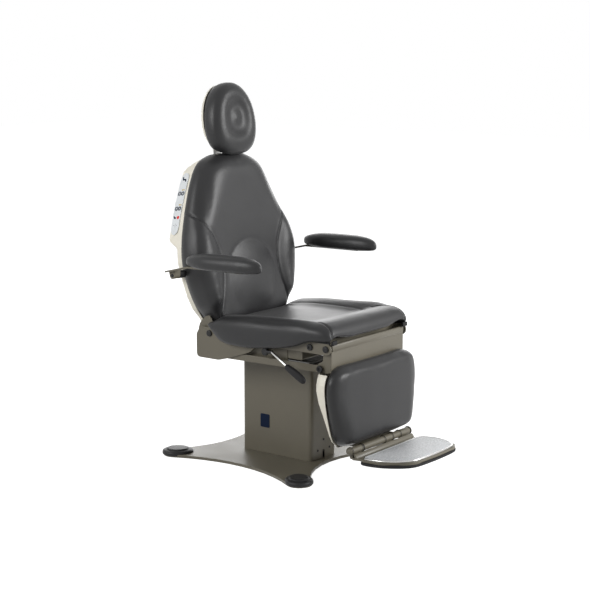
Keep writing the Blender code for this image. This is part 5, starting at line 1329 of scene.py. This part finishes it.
# Rows of (inset, share of the height) up each layer of the foot plate
TREAD_SHEET = ((0.0010, 0.0), (0.0010, 0.6), (0.0014, 0.80), (0.0022, 0.84), (0.0088, 0.84), (0.0130, 0.84))
TREAD_RIM = ((0.0, 0.04), (-0.0002, 0.6), (0.0004, 0.95), (0.0016, 1.13), (0.0030, 1.14), (0.0042, 1.0), (0.0050, 0.78))
PAN_BAND = ((0.0012, 0.0), (0.0, 0.12), (-0.0004, 0.3), (-0.0004, 0.7), (0.0, 0.88), (0.0012, 1.0))
BUMPER_LIP = ((0.0030, 0.0), (0.0010, 0.12), (0.0, 0.4), (0.0, 0.7), (0.0008, 0.92), (0.0026, 1.0))
FLANGE_SECTION = ((-0.0270, -0.0265), (-0.0175, -0.0255), (-0.0158, -0.0090), (-0.0170, -0.0070), (-0.0190, -0.0076),
                  (-0.0270, -0.0185))
FLANGE_STOPS = ((-0.1725, 0.8), (-0.1712, 1.0), (0.1712, 1.0), (0.1725, 0.8))
FLANGE_MIDDLE = (-0.0215, -0.0185)


class CHAIR_OT_tread(bpy.types.Operator):
    """Presses the foot plate's tread, its bright rim, the pan's edge, the bumper and the hinge's flange"""

    bl_idname = "chair.tread"
    bl_label = "Tread"

    def execute(self, context):
        up, ahead = self.lay()
        self.slab("foot_tread_plate", "foot_tread", TREAD_SHEET, up, ahead, "tread", "tread", ("foot_tread",))
        self.slab("foot_tread_rim", "foot_tread", TREAD_RIM, up, ahead, "steel", "tread")
        self.slab("foot_pan_edge", "foot_pan", PAN_BAND, up, ahead, "paint", "paint")
        self.slab("foot_bumper_strip", "foot_bumper", BUMPER_LIP, up, ahead, "rubber", "grip", ("foot_bumper",))
        flange = drawn_out("foot_flange", FLANGE_SECTION, FLANGE_STOPS, lambda x, a, b: FOOT_HINGE + Vector((x, a, b)),
                           FLANGE_MIDDLE)
        piece("foot_flange", flange, "paint", "foot")
        return {"FINISHED"}

    def lay(self):
        """The foot plate's own directions: square to its tread, and ahead along it."""
        part = NODES["foot_tread"]
        turn = part.matrix_world.to_3x3()
        big = max(part.data.polygons, key=lambda f: f.area * (1 if (turn @ f.normal).z > 0 else 0))
        up = (turn @ big.normal).normalized()
        return up, Vector((1, 0, 0)).cross(up).normalized()

    def slab(self, name, under, rows, up, ahead, look, slot, stands_for=()):
        """One layer of the foot plate: the layer's outline with its long edges bowed, lofted through rows."""
        points = world_points(under)
        if under == "foot_pan":
            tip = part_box("foot_tread")[1].y + 0.003
            points = [p for p in points if p.y < tip]
        middle = sum(points, Vector()) / len(points)
        flat = np.array([((p - middle).x, (p - middle).dot(ahead)) for p in points])
        heights = [(p - middle).dot(up) for p in points]
        foot, top = min(heights), max(heights)
        outline = self.bowed(hull(flat), 1 if ahead.y > 0 else -1)
        loops = []
        for inset, share in rows:
            lift = up * (foot + (top - foot) * share)
            loops.append([middle + Vector((a, 0, 0)) + ahead * b + lift for a, b in inward(outline, inset)])
        piece(name, smooth(loft(f"{name}_form", loops), 50), look, "foot", stands_for)

    def bowed(self, outline, rear):
        """An outline with each long edge but the rear one bowed outwards, and its front corners eased."""
        out = []
        for p, q in zip(outline, np.roll(outline, -1, axis=0)):
            way = q - p
            long = np.linalg.norm(way)
            normal = np.array((way[1], -way[0])) / long
            bow = 0.0 if long < 0.025 or normal[1] * rear > 0.8 else min(0.045 * long, 0.0045)
            count = max(1, int(long / 0.004))
            for t in np.arange(count) / count:
                out.append(p + way * t + normal * bow * 4 * t * (1 - t))
        out = closed(np.array(out), 180)
        front, back = sorted((outline[:, 1].min() * rear, outline[:, 1].max() * rear))
        deep = back - front
        free = np.array([ease(back - p[1] * rear, 0.12 * deep, 0.30 * deep) for p in out])[:, None]
        for _ in range(12):
            out = out + free * ((np.roll(out, 1, axis=0) + np.roll(out, -1, axis=0)) / 2 - out) * 0.8
        return out


# Studio: lights as name, place, aim, width, height and power

LIGHTS = (
    ("key", (2.6, -5.5, 2.7), (0, -0.1, 0.65), 3.0, 2.6, 400),
    ("side", (-3.8, 1.5, 2.4), (0, 0.1, 0.7), 1.8, 1.8, 108),
    ("rim", (3.3, 2.3, 1.25), (0, 0, 0.5), 4.2, 2.1, 70),
)
CAMERA_AT, CAMERA_TURN = (-4.2023, -3.2391, 1.5), math.radians(52.6)
PICTURE, FOCAL, HORIZON = 590, 1552, 22.3
SENSOR = 36
FLOOR_GLOW, AMBIENT = 0.96, 0.15


class CHAIR_OT_stage(bpy.types.Operator):
    """Sets up the floor, the soft light and the camera"""

    bl_idname = "chair.stage"
    bl_label = "Studio"

    def execute(self, context):
        scene = context.scene
        scene.view_settings.view_transform = "Standard"
        bm = bmesh.new()
        bmesh.ops.create_grid(bm, x_segments=1, y_segments=1, size=14)
        floor = in_scene("floor", baked(bm, "floor"))
        floor.data.materials.append(studio_floor())
        studio_world(scene)
        for light in LIGHTS:
            soft_box(*light)
        lens = bpy.data.cameras.new("camera")
        lens.sensor_width = SENSOR
        lens.lens = SENSOR * FOCAL / PICTURE
        lens.clip_end = 60
        drop = math.atan((PICTURE / 2 - HORIZON) / FOCAL)
        level = Vector((math.sin(CAMERA_TURN), math.cos(CAMERA_TURN), 0))
        scene.camera = in_scene("camera", lens)
        aim_from(scene.camera, CAMERA_AT, level * math.cos(drop) - Vector((0, 0, math.sin(drop))))
        return {"FINISHED"}


def aim_from(made, at, ahead):
    made.location = at
    made.rotation_mode = "QUATERNION"
    made.rotation_quaternion = ahead.to_track_quat("-Z", "Y")


def soft_box(name, at, aim, wide, tall, power):
    light = bpy.data.lights.new(name, "AREA")
    light.shape = "RECTANGLE"
    light.size, light.size_y = wide, tall
    light.energy = power
    made = in_scene(name, light)
    aim_from(made, at, Vector(aim) - Vector(at))
    made.visible_camera = False


def seen_mix(tree, plain, seen, output):
    """Shows one shader to the camera, also by way of metal and glass, and lets the other light the scene."""
    path = node(tree, "LightPath").outputs
    rays = maths(tree, "ADD", path["Is Camera Ray"], path["Is Glossy Ray"])
    rays = maths(tree, "ADD", rays, path["Is Transmission Ray"], True)
    mix = node(tree, "MixShader", {0: rays, 1: plain.outputs[0], 2: seen.outputs[0]})
    put(tree, mix.outputs[0], tree.nodes[output].inputs["Surface"])


def studio_floor():
    made, tree, shader = start_finish("studio_floor", scaled(colours().floor, 1.0), 0.9, shine=0.1)
    glow = node(tree, "Emission", {"Strength": FLOOR_GLOW})
    both = node(tree, "AddShader", {0: shader.outputs[0], 1: glow.outputs[0]})
    seen_mix(tree, shader, both, "Material Output")
    return made


def studio_world(scene):
    scene.world = bpy.data.worlds.new("studio")
    scene.world.use_nodes = True
    tree = scene.world.node_tree
    ambient = tree.nodes["Background"]
    ambient.inputs["Color"].default_value = (1, 1, 1, 1)
    ambient.inputs["Strength"].default_value = AMBIENT
    white = node(tree, "Background", {"Color": (1, 1, 1, 1), "Strength": 1.0})
    seen_mix(tree, ambient, white, "World Output")


STEPS = (
    CHAIR_OT_stage,
    CHAIR_OT_frame_finish,
    CHAIR_OT_seat_cushion,
    CHAIR_OT_back_cushion,
    CHAIR_OT_headrest_cushion,
    CHAIR_OT_leg_cushion,
    CHAIR_OT_arm_pads,
    CHAIR_OT_foot_caps,
    CHAIR_OT_leg_trim,
    CHAIR_OT_fasteners,
    CHAIR_OT_control_marks,
    CHAIR_OT_column_plate,
    CHAIR_OT_lever,
    CHAIR_OT_tread,
)


class CHAIR_PT_panel(bpy.types.Panel):
    """Lists the steps that dress the chair"""

    bl_idname = "CHAIR_PT_panel"
    bl_label = "Examination Chair"
    bl_space_type = "VIEW_3D"
    bl_region_type = "UI"
    bl_category = "Chair"

    def draw(self, context):
        for step in STEPS:
            self.layout.operator(step.bl_idname)
        for group in (context.scene.chair_sizes, context.scene.chair_colours):
            column = self.layout.column()
            for key in group.bl_rna.properties.keys():
                if key not in ("rna_type", "name"):
                    column.prop(group, key)


CLASSES = (ChairSizes, ChairColours, *STEPS, CHAIR_PT_panel)


def register():
    for made in CLASSES:
        bpy.utils.register_class(made)
    bpy.types.Scene.chair_sizes = PointerProperty(type=ChairSizes)
    bpy.types.Scene.chair_colours = PointerProperty(type=ChairColours)


def unregister():
    del bpy.types.Scene.chair_colours
    del bpy.types.Scene.chair_sizes
    for made in reversed(CLASSES):
        bpy.utils.unregister_class(made)


def main():
    register()
    for step in STEPS:
        family, name = step.bl_idname.split(".")
        getattr(getattr(bpy.ops, family), name)()


if __name__ == "__main__":
    main()
